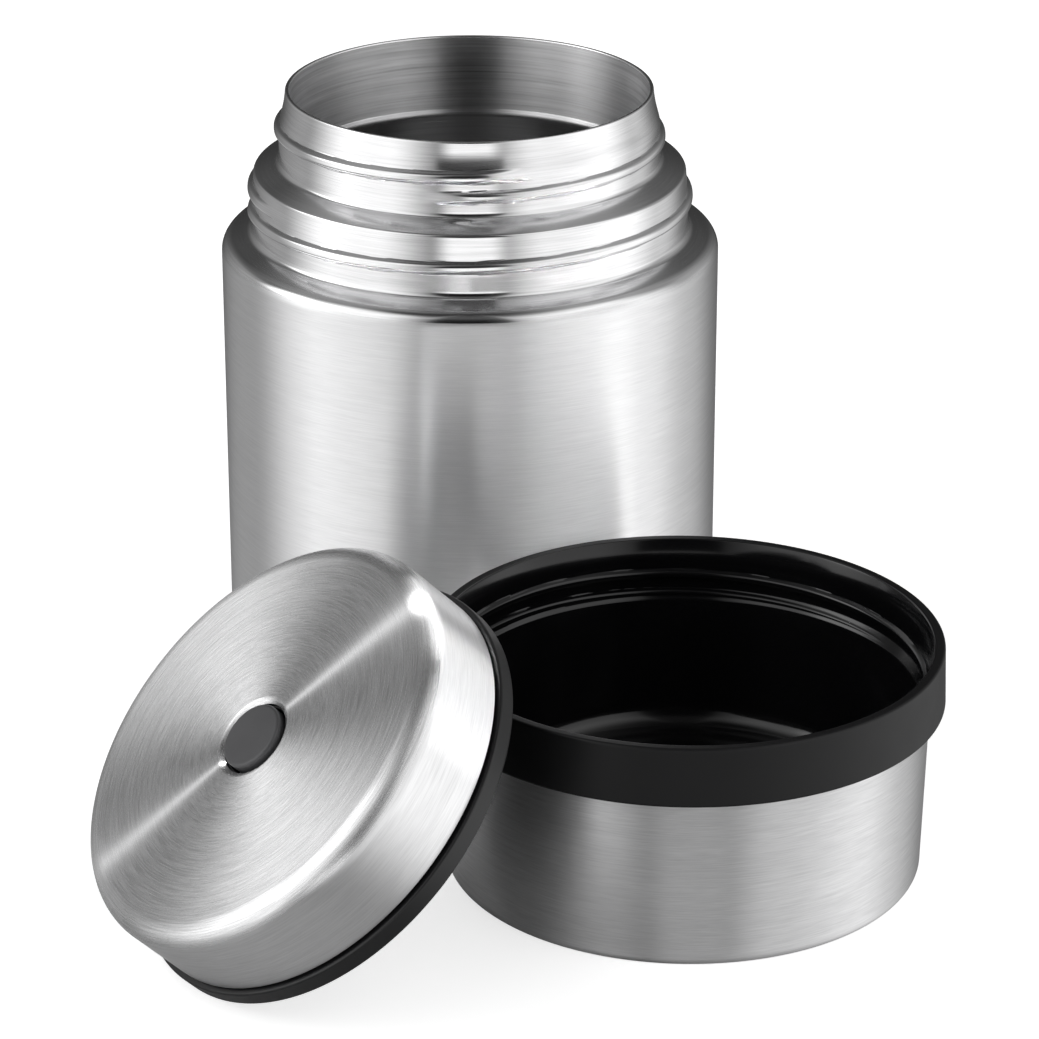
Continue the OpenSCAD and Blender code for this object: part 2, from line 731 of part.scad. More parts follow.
// Foam that fills the plug
module lid_foam() {
    inner_r = valve_r + pocket_clear + plug_t + loose;
    color(foam)
        in_lid()
            rotate_extrude()
                polygon([
                    [inner_r, plug_floor_z + loose],
                    [plug_r - plug_t - loose, plug_floor_z + loose],
                    [plug_r - plug_t - loose, web_z - loose],
                    [well_outer_r + loose, web_z - loose],
                    [well_outer_r + loose, plug_floor_z + plug_t + plug_drop],
                    [inner_r, plug_floor_z + plug_t + plug_drop]]);
}

// Silicone ring that the jar's rim presses on, with a lip that hugs the plug
module lid_seal() {
    color(silicone)
        in_lid()
            rotate_extrude()
                polygon(outline([
                    [plug_r + seam, seat_z - seal_lip_h, 0],
                    [plug_r + seam + seal_lip_w, seat_z - seal_lip_h, seal_lip_w / 2],
                    [plug_r + seam + seal_lip_w, seat_z, 0],
                    [seal_ring_r, seat_z, seal_ring_t / 3],
                    [seal_ring_r, web_z, 0],
                    [plug_r + seam, web_z, 0]]));
}

// Hollow button
module button_cap() {
    foot_z = button_top_z - button_h;
    color(dark_grey)
        in_lid()
            rotate_extrude()
                polygon(outline([
                    [0, button_top_z - button_t, 0],
                    [button_r - button_t, button_top_z - button_t, 0],
                    [button_r - button_t, foot_z, 0],
                    [button_r, foot_z, 0],
                    [button_r, button_top_z, button_round],
                    [0, button_top_z, 0]]));
}

// Stem from the button down to the valve
module button_stem() {
    color(bright_steel)
        in_lid()
            ring(0, stem_r, -plug_drop, button_top_z - button_t);
}

// Silicone disc that closes the vent passage from below
module valve_seal() {
    color(silicone)
        in_lid()
            ring(stem_r, valve_r, clip_t - plug_drop, valve_z);
}

// Clip that holds the disc on the stem
module stem_clip() {
    color(bright_steel)
        in_lid()
            ring(stem_r, clip_r, -plug_drop, clip_t - plug_drop);
}

// Spring between the well's floor and the button
module button_spring() {
    color(bright_steel)
        in_lid()
            coil(spring_r, wire_r, well_floor_z + seam, button_top_z - button_t - seam, spring_turns);
}

outer_shell();
inner_vessel();
rim_weld();
base_plate();
port_seal();
getter();
foil();
cup_shell();
cup_liner();
cup_foam();
lid_cover();
lid_base();
lid_plug();
lid_foam();
lid_seal();
button_cap();
button_stem();
valve_seal();
stem_clip();
button_spring();
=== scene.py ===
"""Dresses the open insulated food jar: brushed steel body, black-lined cup and leaning plug lid."""
import json
import math
from types import SimpleNamespace

import bpy
import numpy as np
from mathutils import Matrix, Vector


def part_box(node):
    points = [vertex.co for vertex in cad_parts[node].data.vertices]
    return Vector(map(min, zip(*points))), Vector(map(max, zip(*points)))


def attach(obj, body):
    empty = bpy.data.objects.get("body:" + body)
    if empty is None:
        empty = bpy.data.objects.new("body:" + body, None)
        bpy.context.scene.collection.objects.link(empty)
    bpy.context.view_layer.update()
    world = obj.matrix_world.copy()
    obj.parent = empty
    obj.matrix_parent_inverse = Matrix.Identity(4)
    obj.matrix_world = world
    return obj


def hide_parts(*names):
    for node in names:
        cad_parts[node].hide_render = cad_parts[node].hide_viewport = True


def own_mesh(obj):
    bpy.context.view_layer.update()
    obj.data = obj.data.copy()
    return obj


bl_info = {
    "name": "Insulated food jar",
    "version": (1, 0, 0),
    "blender": (4, 5, 0),
    "location": "3D View > Sidebar > Food jar",
    "description": "Builds the jar, its cup and its plug lid in brushed steel and black plastic",
    "category": "Object",
}

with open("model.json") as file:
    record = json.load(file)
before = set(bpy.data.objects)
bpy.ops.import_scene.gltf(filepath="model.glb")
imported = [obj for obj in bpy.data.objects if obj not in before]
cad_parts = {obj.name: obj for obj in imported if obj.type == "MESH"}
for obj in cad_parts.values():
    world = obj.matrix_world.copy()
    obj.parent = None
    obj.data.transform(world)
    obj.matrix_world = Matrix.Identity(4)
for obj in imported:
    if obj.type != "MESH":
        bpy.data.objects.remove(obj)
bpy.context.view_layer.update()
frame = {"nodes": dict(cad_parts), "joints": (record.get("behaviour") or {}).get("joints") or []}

MM = 0.001
AROUND = 288
SMALL_AROUND = 96
ROUND_STEPS = 10
CREASE = math.radians(40)
UP = np.array([0.0, 0.0, 1.0])

# Sizes of small details, in millimetres like every size below
SHEET_T = 0.4
CLEAR = 0.05
STEM_R = 1.6
STEM_HOLE_R = 2.6
POCKET_R = 5.4
POCKET_H = 1.5


# Properties

def length(name, about, value):
    """A length, given in millimetres and kept in metres."""
    return bpy.props.FloatProperty(name=name, description=about, default=value * MM, unit="LENGTH",
                                   precision=5)


def share(name, about, value):
    """A plain number from 0 to 1."""
    return bpy.props.FloatProperty(name=name, description=about, default=value, min=0.0, max=1.0,
                                   subtype="FACTOR")


def turns(name, about, value):
    """A number of turns."""
    return bpy.props.FloatProperty(name=name, description=about, default=value, min=0.0)


def angle(name, about, value):
    """An angle, given in degrees and kept in radians."""
    return bpy.props.FloatProperty(name=name, description=about, default=math.radians(value), subtype="ANGLE")


def colour(name, about, value):
    """A linear colour."""
    return bpy.props.FloatVectorProperty(name=name, description=about, default=value, min=0.0, max=1.0,
                                         subtype="COLOR", size=3)


class FOODJAR_PG_jar(bpy.types.PropertyGroup):
    """Sizes of the jar."""
    body_r: length("Body radius", "Outer radius of the body", 50)
    body_z: length("Body height", "Height of the shoulder's corner", 91.8)
    low_foot_r: length("Lower neck foot", "Its radius at its foot", 43.9)
    low_foot_z: length("Lower neck foot height", "Height of its foot", 94)
    low_mid_z: length("Lower neck middle height", "Height at which it starts to draw in", 98.5)
    low_top_r: length("Lower neck top", "Its radius at its top edge", 43.3)
    low_top_z: length("Shelf height", "Height of its top edge", 106.1)
    top_foot_r: length("Upper neck foot", "Its radius at its foot", 38.25)
    top_foot_z: length("Upper neck foot height", "Height of its foot", 108.3)
    top_mid_r: length("Upper neck middle", "Its radius above its thread", 38.0)
    top_mid_z: length("Upper neck middle height", "Height at which it draws in", 115.9)
    top_lip_r: length("Upper neck lip", "Its radius where it has drawn in", 36.95)
    top_lip_z: length("Upper neck lip height", "Height at which it has drawn in", 119.8)
    rim_r: length("Rim radius", "Outer radius of the mouth's rim", 36.66)
    sheet_z: length("Sheet height", "Height of both sheets' ends", 122.3)
    rim_z: length("Rim height", "Height of the rim", 122.7)
    mouth_r: length("Mouth radius", "Outer radius of the inner sheet there", 36.23)
    mouth_z: length("Mouth foot", "Height at which the mouth flares out", 105.9)
    step: length("Mouth step", "How far its foot is rolled in", 0.5)
    chamber_r: length("Chamber radius", "Outer radius of the inner sheet there", 46.3)
    chamber_z: length("Chamber top", "Height at which the flare ends", 81.9)
    floor_z: length("Chamber floor", "Height of the chamber's floor", 6.8)
    hem_w: length("Hem width", "Width of the hem it stands on", 5.6)


class FOODJAR_PG_thread(bpy.types.PropertyGroup):
    """Sizes of the necks' beads and of the ridges that they meet."""
    pitch: length("Pitch", "Rise in one turn", 4)
    bead_h: length("Bead height", "How proud a bead stands", 1.0)
    bead_w: length("Bead width", "Width of a bead with its hollows", 2.6)
    ridge_h: length("Ridge height", "How proud a ridge stands", 0.95)
    ridge_w: length("Ridge width", "Width of a ridge", 2.0)
    fade: angle("Fade", "Angle over which a thread runs out", 20)
    top_start: angle("Upper start", "Direction in which it starts", 257)
    top_z: length("Upper start height", "Height of its start", 111.9)
    top_turns: turns("Upper turns", "Turns of the upper bead", 1.095)
    low_start: angle("Lower start", "Direction in which it starts", 172)
    low_z: length("Lower start height", "Height of its start", 98.75)
    low_turns: turns("Lower turns", "Turns of the lower bead", 1.12)
    cup_z: length("Cup ridge height", "Height of its start", 33.1)
    cup_turns: turns("Cup turns", "Turns of the cup's ridge", 1.5)
    lid_z: length("Lid ridge height", "Height of its start over the lid's edge", 3.4)
    lid_turns: turns("Lid turns", "Turns of the lid's ridge", 1.1)


class FOODJAR_PG_cup(bpy.types.PropertyGroup):
    """Sizes of the cup."""
    height: length("Height", "Height of the cup", 45)
    band_r: length("Band radius", "Outer radius of the band's lower edge", 48.4)
    rim_r: length("Rim radius", "Outer radius of the rim", 48)
    lip_r: length("Lip radius", "Inner radius of the rim", 46.1)
    root_r: length("Ridge root", "Inner radius between the ridges", 44.95)
    wall_r: length("Wall radius", "Inner radius below the ridges", 43.6)
    floor_r: length("Floor radius", "Inner radius at the floor", 42)
    floor_z: length("Floor height", "Height of the inner floor", 7)
    band_z: length("Band height", "Height of the band's lower edge", 33.7)
    steel_top_r: length("Steel top", "Outer radius of the steel at its top", 45.6)
    steel_foot_r: length("Steel foot", "Outer radius of the steel at its foot", 44.7)
    recess_r: length("Recess radius", "Radius of the recess in the bottom", 37)
    recess: length("Recess", "Depth of that recess", 1.1)


class FOODJAR_PG_lid(bpy.types.PropertyGroup):
    """Sizes of the plug lid and its button."""
    cover_r: length("Cover radius", "Outer radius of the steel cover", 40.62)
    cover_lip_r: length("Cover lip", "Outer radius of the cover's lower edge", 40.7)
    cover_top: length("Cover top", "Height over the lid's lower edge", 21.4)
    cover_lip_z: length("Cover lip height", "Height of the cover's lower edge", 4.1)
    cover_round: length("Cover rounding", "Rounding of the cover's upper edge", 4)
    hole_r: length("Hole radius", "Radius of the button's hole", 7.05)
    ring_r: length("Ring radius", "Outer radius of the black ring", 41.77)
    ring_h: length("Ring height", "Height of the black ring", 3.6)
    skirt_r: length("Skirt radius", "Inner radius of the threaded skirt", 39.35)
    skirt_outer_r: length("Skirt outside", "Outer radius of the threaded skirt", 40.17)
    web_z: length("Web height", "Height of the web's underside", 16.6)
    plug_r: length("Plug radius", "Radius of the plug", 34.63)
    plug_drop: length("Plug drop", "How far it reaches below the lid's edge", 6.5)
    button_r: length("Button radius", "Radius of the button", 6.35)
    button_top: length("Button top", "Height of the button's face", 22)
    clip_t: length("Clip thickness", "Thickness of the clip under the valve", 0.5)
    well_floor: length("Well floor", "Height of the button well's floor", 10)
    spring_r: length("Spring radius", "Radius to the middle of its wire", 3.9)
    wire_r: length("Wire radius", "Radius of the spring's wire", 0.35)
    spring_turns: turns("Spring turns", "Turns of the spring", 5.5)


class FOODJAR_PG_finish(bpy.types.PropertyGroup):
    """Colours and roughnesses."""
    steel: colour("Steel", "Colour of the stainless steel", (0.70, 0.70, 0.705))
    body_rough: share("Body roughness", "Roughness of the brushed body", 0.35)
    neck_rough: share("Neck roughness", "Roughness of the turned necks", 0.145)
    lid_rough: share("Lid roughness", "Roughness of the brushed lid", 0.27)
    black: colour("Black plastic", "Colour of the moulded black plastic", (0.004, 0.004, 0.0045))
    button: colour("Button", "Colour of the button", (0.068, 0.068, 0.071))
    silicone: colour("Silicone", "Colour of the seals", (0.30, 0.31, 0.32))
    foam: colour("Foam", "Colour of the insulating foam", (0.80, 0.76, 0.62))


GROUPS = {
    "foodjar_jar": FOODJAR_PG_jar,
    "foodjar_thread": FOODJAR_PG_thread,
    "foodjar_cup": FOODJAR_PG_cup,
    "foodjar_lid": FOODJAR_PG_lid,
    "foodjar_finish": FOODJAR_PG_finish,
}


def sizes(name):
    """A property group's values as a plain object, with its lengths in millimetres."""
    group = getattr(bpy.context.scene, "foodjar_" + name)
    kinds = group.bl_rna.properties
    return SimpleNamespace(**{k: getattr(group, k) / MM if kinds[k].unit == "LENGTH" else getattr(group, k)
                              for k in GROUPS["foodjar_" + name].__annotations__})


# Turned surfaces

LONG_RUN, NEAR_END, RUN_STEP = 0.9, 0.2, 6
BEAD_POWERS = 3.4, 1.25
END_RISE = 2.5


def soften(path, closed=False):
    """Profile points [radius, height] of corners [radius, height, rounding]. Each rounded corner becomes an
    arc about the point that lies rounding away from both of its sides."""
    p = np.array(path, float)
    out = []
    count = len(p)
    for i in range(count):
        here, radius = p[i, :2], p[i, 2]
        if radius == 0 or (not closed and i in (0, count - 1)):
            out.append(here)
            continue
        u = p[i - 1, :2] - here
        v = p[(i + 1) % count, :2] - here
        u /= np.linalg.norm(u)
        v /= np.linalg.norm(v)
        half = math.acos(np.clip(u @ v, -1, 1)) / 2
        middle = here + (u + v) / np.linalg.norm(u + v) * radius / math.sin(half)
        a = here + u * radius / math.tan(half) - middle
        b = here + v * radius / math.tan(half) - middle
        start = math.atan2(a[1], a[0])
        turn = (math.atan2(b[1], b[0]) - start + 3 * math.pi) % (2 * math.pi) - math.pi
        t = start + turn * np.linspace(0, 1, ROUND_STEPS + 1)
        out.extend(middle + radius * np.stack([np.cos(t), np.sin(t)], 1))
    return braced(np.array(out), closed)


def steps_in(run, step):
    """How many steps of at most that length a run takes."""
    return max(1, math.ceil(run / step - 1e-4))


def braced(points, closed):
    """Adds a point near both ends of each straight run and others along it, so that the smooth shading of a
    rounding stays in the rounding."""
    out = []
    count = len(points)
    for i in range(count if closed else count - 1):
        a, b = points[i], points[(i + 1) % count]
        out.append(a)
        run = np.linalg.norm(b - a)
        if run > LONG_RUN:
            near = min(NEAR_END, run / 8) / run
            out.extend(a + (b - a) * t for t in np.linspace(near, 1 - near, steps_in(run, RUN_STEP) + 1))
    if not closed:
        out.append(points[-1])
    return np.array(out)


def aside(path, t):
    """The corners of a path moved t to its left, with each rounding kept about the same centre."""
    p = np.array(path, float)
    d = np.diff(p[:, :2], axis=0)
    d /= np.linalg.norm(d, axis=1)[:, None]
    left = d[:, ::-1] * (-1, 1)
    before = np.vstack([left[:1], left])
    after = np.vstack([left, left[-1:]])
    miter = (before + after) / (1 + (before * after).sum(1))[:, None]
    bend = np.where(before[:, 0] * after[:, 1] - before[:, 1] * after[:, 0] > 0, -t, t)
    r = np.where(p[:, 2] == 0, 0, p[:, 2] + bend)
    return np.column_stack([p[:, :2] + miter * t, np.maximum(r, 0)])


def refine(points, zones, closed=True):
    """Adds points on straight runs, so that no step in a zone [low, high, step] of heights is longer than
    step."""
    out = []
    n = len(points)
    for i in range(n if closed else n - 1):
        a, b = points[i], points[(i + 1) % n]
        step = min([s for low, high, s in zones if low < (a[1] + b[1]) / 2 < high], default=math.inf)
        k = steps_in(np.linalg.norm(b - a), step)
        out.extend(a + (b - a) * np.arange(k)[:, None] / k)
    if not closed:
        out.append(points[-1])
    return np.array(out)


def turned(name, points, place, dressing, relief=None, around=AROUND):
    """A closed surface of revolution, with its dressing. Grid point (i, j) stands at the radius r_i +
    relief(r_i, z_i, phi_j) and the height z_i along the axis, at the angle phi_j = 2 pi j / around. The
    profile runs anticlockwise with the radius to the right, so faces point outwards; points on the axis
    become one pole."""
    origin, x, y, w = place
    phi = 2 * np.pi * np.arange(around) / around
    r = np.repeat(points[:, :1], around, 1)
    z = np.repeat(points[:, 1:], around, 1)
    if relief is not None:
        r = r + relief(r, z, phi[None, :])
    along = np.concatenate([[0], np.cumsum(np.linalg.norm(np.diff(points, axis=0), axis=1))])
    away = np.cos(phi)[:, None] * x + np.sin(phi)[:, None] * y
    grid = origin + MM * (r[..., None] * away + z[..., None] * w)
    closing = np.linalg.norm(points[0] - points[-1])
    return dress(skin(name, grid, along, points[:, 0] <= 1e-6, closing), *dressing)


def skin(name, grid, along, pole, closing):
    """Makes the piece of a grid of points whose rows close on themselves. Rows marked as a pole become one
    point. The last row joins the first over the length closing, unless both are poles. The UV map has the
    length along the profile in u, and the attribute brush = (cos phi_j, sin phi_j, that length)."""
    m, around = grid.shape[:2]
    j = np.arange(around)
    count = np.where(pole, 1, around)
    index = (np.cumsum(count) - count)[:, None] + np.where(pole[:, None], 0, j)
    own = ~pole[:, None] | (j == 0)
    phi = 2 * np.pi * j / around
    brush = np.stack(np.broadcast_arrays(np.cos(phi), np.sin(phi), along[:, None]), -1)
    brush[pole, :, :2] = 0

    rows = np.arange(m - int(pole[0] and pole[-1]))
    near, far = index[rows], index[(rows + 1) % m]
    right = (j + 1) % around
    quads = np.stack([near, near[:, right], far[:, right], far], -1).reshape(-1, 4)
    u = MM * np.append(along, along[-1] + closing)
    u = np.stack([u[rows], u[rows], u[rows + 1], u[rows + 1]], -1)
    v = np.stack([j, j + 1, j + 1, j], -1) / around
    uvs = np.stack(np.broadcast_arrays(u[:, None], v), -1).reshape(-1, 4, 2)
    keep = np.ones(quads.shape, bool)
    keep[:, 1] = quads[:, 1] != quads[:, 0]
    keep[:, 3] = quads[:, 3] != quads[:, 2]
    keep &= keep.sum(1)[:, None] > 2
    sides = keep.sum(1)
    sides = sides[sides > 0]
    points, loops = grid[own], quads[keep]

    mesh = bpy.data.meshes.new(name)
    mesh.vertices.add(len(points))
    mesh.vertices.foreach_set("co", points.astype(np.float32).ravel())
    mesh.loops.add(len(loops))
    mesh.loops.foreach_set("vertex_index", loops.astype(np.int32))
    mesh.polygons.add(len(sides))
    mesh.polygons.foreach_set("loop_start", (np.cumsum(sides) - sides).astype(np.int32))
    mesh.update(calc_edges=True)
    uv = mesh.uv_layers.new(name="turned")
    uv.uv.foreach_set("vector", uvs[keep].astype(np.float32).ravel())
    attribute = mesh.attributes.new("brush", "FLOAT_VECTOR", "POINT")
    attribute.data.foreach_set("vector", brush[own].astype(np.float32).ravel())
    mesh.validate()
    mesh.polygons.foreach_set("use_smooth", np.ones(len(mesh.polygons), bool))
    mesh.set_sharp_from_angle(angle=CREASE)
    piece = bpy.data.objects.new(name, mesh)
    bpy.context.scene.collection.objects.link(piece)
    return piece


def coil(name, radius, wire, low, high, turns, place, sides=20, steps=60):
    """A round wire wound up an axis. Grid point (i, j) is C(a_i) + s_i (cos b_j R(a_i) - sin b_j w). C is the
    wire's middle at the wound angle a_i, R points away from the axis w, and s_i is the wire's radius, or 0 at
    both ends. The first and the last turn rise by END_RISE wire radii, and the others evenly."""
    origin, x, y, w = place
    a = np.linspace(0, turns, math.ceil(turns * steps) + 1)
    a = np.concatenate([a[:1], a, a[-1:]])
    s = np.full(len(a), wire)
    s[[0, -1]] = 0
    bottom, top = low + wire, high - wire
    close = END_RISE * wire
    z = np.interp(a, (0, 1, turns - 1, turns), (bottom, bottom + close, top - close, top))
    away = np.cos(2 * np.pi * a)[:, None] * x + np.sin(2 * np.pi * a)[:, None] * y
    middle = radius * away + z[:, None] * w
    b = 2 * np.pi * np.arange(sides)[None, :, None] / sides
    grid = origin + MM * (middle[:, None] + s[:, None, None] * (np.cos(b) * away[:, None] - np.sin(b) * w))
    along = np.concatenate([[0], np.cumsum(np.linalg.norm(np.diff(middle, axis=0), axis=1))])
    return skin(name, grid, along, s == 0, 0)


def solid(path):
    """Profile of a closed outline of corners."""
    return soften(path, closed=True)


def sheet(path, t):
    """Profile of a sheet of thickness t to the left of a path of corners."""
    outer = soften(path)
    inner = soften(aside(path, t))[::-1]
    return np.vstack([outer, inner])


def winding(thread, kind, phi, z, start, turns, z0):
    """Height of a bead or ridge over its wall. Across its width it is (1 - |t|^p)^q, with p and q in
    BEAD_POWERS. It is centred on z0 + pitch * a / 2 pi at the wound angle a, and eases out over the angle
    fade at both ends."""
    height, width = getattr(thread, kind + "_h"), getattr(thread, kind + "_w")
    total = 0 * (phi + z)
    p, q = BEAD_POWERS
    for k in range(-1, 3):
        a = phi - start + 2 * np.pi * k
        end = turns * 2 * np.pi
        inside = (a >= 0) & (a <= end)
        run = np.clip(np.minimum(a, end - a) / thread.fade, 0, 1)
        ease = np.sin(run * np.pi / 2) ** 2
        t = np.clip(np.abs(z - z0 - thread.pitch * a / (2 * np.pi)) / (width / 2), 0, 1)
        total = np.maximum(total, np.where(inside, ease * height * (1 - t ** p) ** q, 0))
    return total


def upright(node):
    """Place of a piece whose axis stands upright through the middle of a CAD node."""
    low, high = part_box(node)
    middle = np.array((low + high) / 2)
    return np.array([*middle[:2], 0.0]), *np.eye(3)


def leaning():
    """Place of the lid: its axis is the button's slide, and its origin lies in its lower edge's plane."""
    lid = sizes("lid")
    press = next(j for j in frame["joints"] if j["name"] == "vent_press")
    w = -np.array(press["axis"], float)
    w /= np.linalg.norm(w)
    low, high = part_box("stem_clip")
    origin = np.array((low + high) / 2) + w * MM * (lid.plug_drop - lid.clip_t / 2)
    x = np.cross(np.cross(w, UP), w)
    x /= -np.linalg.norm(x)
    return origin, x, np.cross(w, x), w


# Materials

def new_group(name, sockets_in, *sockets_out):
    """An empty shader node group. Its inputs are numbers with their defaults, or vectors where the default is
    None, and its outputs are numbers."""
    group = bpy.data.node_groups.new(name, "ShaderNodeTree")
    for label, value in sockets_in.items():
        kind = "NodeSocketVector" if value is None else "NodeSocketFloat"
        socket = group.interface.new_socket(label, in_out="INPUT", socket_type=kind)
        if value is not None:
            socket.default_value = value
    for label in sockets_out:
        group.interface.new_socket(label, in_out="OUTPUT", socket_type="NodeSocketFloat")
    return group, group.nodes.new("NodeGroupInput"), group.nodes.new("NodeGroupOutput")


def feed(tree, node, values):
    """Gives a node's inputs their values, which are sockets or numbers, by place or by name."""
    for key, value in values.items() if isinstance(values, dict) else enumerate(values):
        if isinstance(value, bpy.types.NodeSocket):
            tree.links.new(value, node.inputs[key])
        else:
            node.inputs[key].default_value = value


def add_node(tree, kind, values=(), **settings):
    """A shader node with its settings and its inputs' values."""
    node = tree.nodes.new("ShaderNode" + kind)
    for name, value in settings.items():
        setattr(node, name, value)
    feed(tree, node, values)
    return node


def math_node(tree, operation, *values):
    """A Math node."""
    return add_node(tree, "Math", values, operation=operation).outputs[0]


def ramp(tree, value, low, high, to_low=0.0, to_high=1.0, smooth=True):
    """A Map Range node from low..high to to_low..to_high."""
    return add_node(tree, "MapRange", (value, low, high, to_low, to_high),
                    interpolation_type="SMOOTHSTEP" if smooth else "LINEAR").outputs[0]


def noise(tree, vector, scale=1.0, detail=2.0, rough=0.5):
    """A 3D noise of mean about a half, most of which lies in SPREAD."""
    values = {"Vector": vector, "Scale": scale, "Detail": detail, "Roughness": rough}
    return add_node(tree, "TexNoise", values).outputs["Fac"]


SPREAD = 0.3, 0.7

# Turning marks: share of the fine scratches, repeats of the broad ones and the bands round the piece, and
# of the broad ones along it, as a share of the fine ones
FINE_SHARE = 0.75
BROAD_DRAWN, BAND_DRAWN = 1.7, 1.1
BROAD_LINES = 0.31


def brushing_group():
    """Turning marks. Three noises are drawn out round the axis and packed along the profile: fine scratches,
    broader ones, and bands of lighter and darker steel."""
    values = {"Brush": None, "Lines": 3.0, "Drawn": 4.0, "Bands": 0.35, "Banding": 0.2}
    group, gin, gout = new_group("turning marks", values, "Marks", "Shade")
    brush, drawn, lines = (gin.outputs[label] for label in ("Brush", "Drawn", "Lines"))

    def drawn_out(around, along, **look):
        """A noise of the given repeats round the axis and along the profile, from 0 to 1."""
        repeats = add_node(group, "CombineXYZ", (around, around, along)).outputs[0]
        where = add_node(group, "VectorMath", (brush, repeats), operation="MULTIPLY").outputs[0]
        return ramp(group, noise(group, where, **look), *SPREAD, smooth=False)

    fine = drawn_out(drawn, lines, detail=3, rough=0.6)
    broad = drawn_out(BROAD_DRAWN, math_node(group, "MULTIPLY", lines, BROAD_LINES))
    bands = drawn_out(BAND_DRAWN, gin.outputs["Bands"])
    broad = math_node(group, "MULTIPLY", broad, 1 - FINE_SHARE)
    marks = math_node(group, "MULTIPLY_ADD", fine, FINE_SHARE, broad)
    apart = math_node(group, "SUBTRACT", bands, marks)
    shade = math_node(group, "MULTIPLY_ADD", apart, gin.outputs["Banding"], marks)
    group.links.new(marks, gout.inputs["Marks"])
    group.links.new(shade, gout.inputs["Shade"])
    return group


def wear_group():
    """Faint clouding from handling: a slow noise in the piece's own coordinates."""
    group, gin, gout = new_group("handling", {"Vector": None, "Scale": 60.0}, "Cloud")
    cloud = noise(group, gin.outputs["Vector"], scale=gin.outputs["Scale"], detail=4, rough=0.55)
    group.links.new(ramp(group, cloud, *SPREAD), gout.inputs["Cloud"])
    return group


def new_material(name):
    """A material with only its Principled BSDF and output."""
    material = bpy.data.materials.new(name)
    material.use_nodes = True
    tree = material.node_tree
    return material, tree, tree.nodes["Principled BSDF"]


def mixed(tree, factor, a, b):
    """Colour between a and b."""
    values = {"A": (*a, 1), "B": (*b, 1), "Factor": factor}
    return add_node(tree, "Mix", values, data_type="RGBA").outputs["Result"]


def own_vector(tree):
    """The piece's Object coordinates."""
    return add_node(tree, "TexCoord").outputs["Object"]


def bumped(tree, height, depth):
    """The normal of a bump of the given depth in millimetres."""
    return add_node(tree, "Bump", {"Distance": depth * MM, "Height": height}).outputs[0]


def steel_material(name, groups, rough, anisotropy, lines, drawn, bands, depth, spread, tint, vary, banding):
    """Brushed steel: an anisotropic metal whose highlight spreads along the profile, across the turning
    marks."""
    tree, shader = new_material(name)[1:]
    steel = np.array(sizes("finish").steel[:]) * tint
    brush = add_node(tree, "Attribute", attribute_name="brush").outputs["Vector"]
    values = {"Brush": brush, "Lines": lines, "Drawn": drawn, "Bands": bands, "Banding": banding}
    marks = add_node(tree, "Group", values, node_tree=groups["brushing"]).outputs
    values = {"Vector": own_vector(tree), "Scale": STEEL_CLOUD}
    cloud = add_node(tree, "Group", values, node_tree=groups["wear"]).outputs["Cloud"]
    shade = math_node(tree, "MULTIPLY_ADD", marks["Shade"], 1 - CLOUD_SHARE,
                      math_node(tree, "MULTIPLY", cloud, CLOUD_SHARE))
    feed(tree, shader, {
        "Base Color": mixed(tree, shade, steel * (1 - vary), steel * (1 + vary)),
        "Roughness": ramp(tree, shade, 0, 1, rough + spread, rough - spread, smooth=False),
        "Metallic": 1, "Anisotropic": anisotropy,
        "Tangent": add_node(tree, "Tangent", direction_type="UV_MAP", uv_map="turned").outputs[0],
        "Normal": bumped(tree, marks["Marks"], depth)})


def plastic_material(name, groups, base, rough, grain, depth, coat, level, soft):
    """Moulded plastic: fine grain in the bump, and a slow cloud in colour and roughness."""
    tree, shader = new_material(name)[1:]
    base = np.array(base[:])
    vector = own_vector(tree)
    values = {"Vector": vector, "Scale": PLASTIC_CLOUD}
    cloud = add_node(tree, "Group", values, node_tree=groups["wear"]).outputs["Cloud"]
    vary, rough_vary = base * PLASTIC_VARY, rough * ROUGH_VARY
    feed(tree, shader, {
        "Base Color": mixed(tree, cloud, base - vary, base + vary),
        "Roughness": ramp(tree, cloud, 0, 1, rough - rough_vary, rough + rough_vary, smooth=False),
        "Coat Weight": coat, "Coat Roughness": COAT_ROUGH, "Specular IOR Level": level,
        "Subsurface Weight": soft, "Subsurface Scale": SOFT_DEPTH,
        "Normal": bumped(tree, noise(tree, vector, scale=grain, detail=3, rough=0.6), depth)})


# Repeats of the handling marks in a metre, and how much they count
STEEL_CLOUD, PLASTIC_CLOUD, CLOUD_SHARE = 45.0, 70.0, 0.15
PLASTIC_VARY, ROUGH_VARY = 0.12, 0.07
COAT_ROUGH, SOFT_DEPTH = 0.08, 1.5 * MM

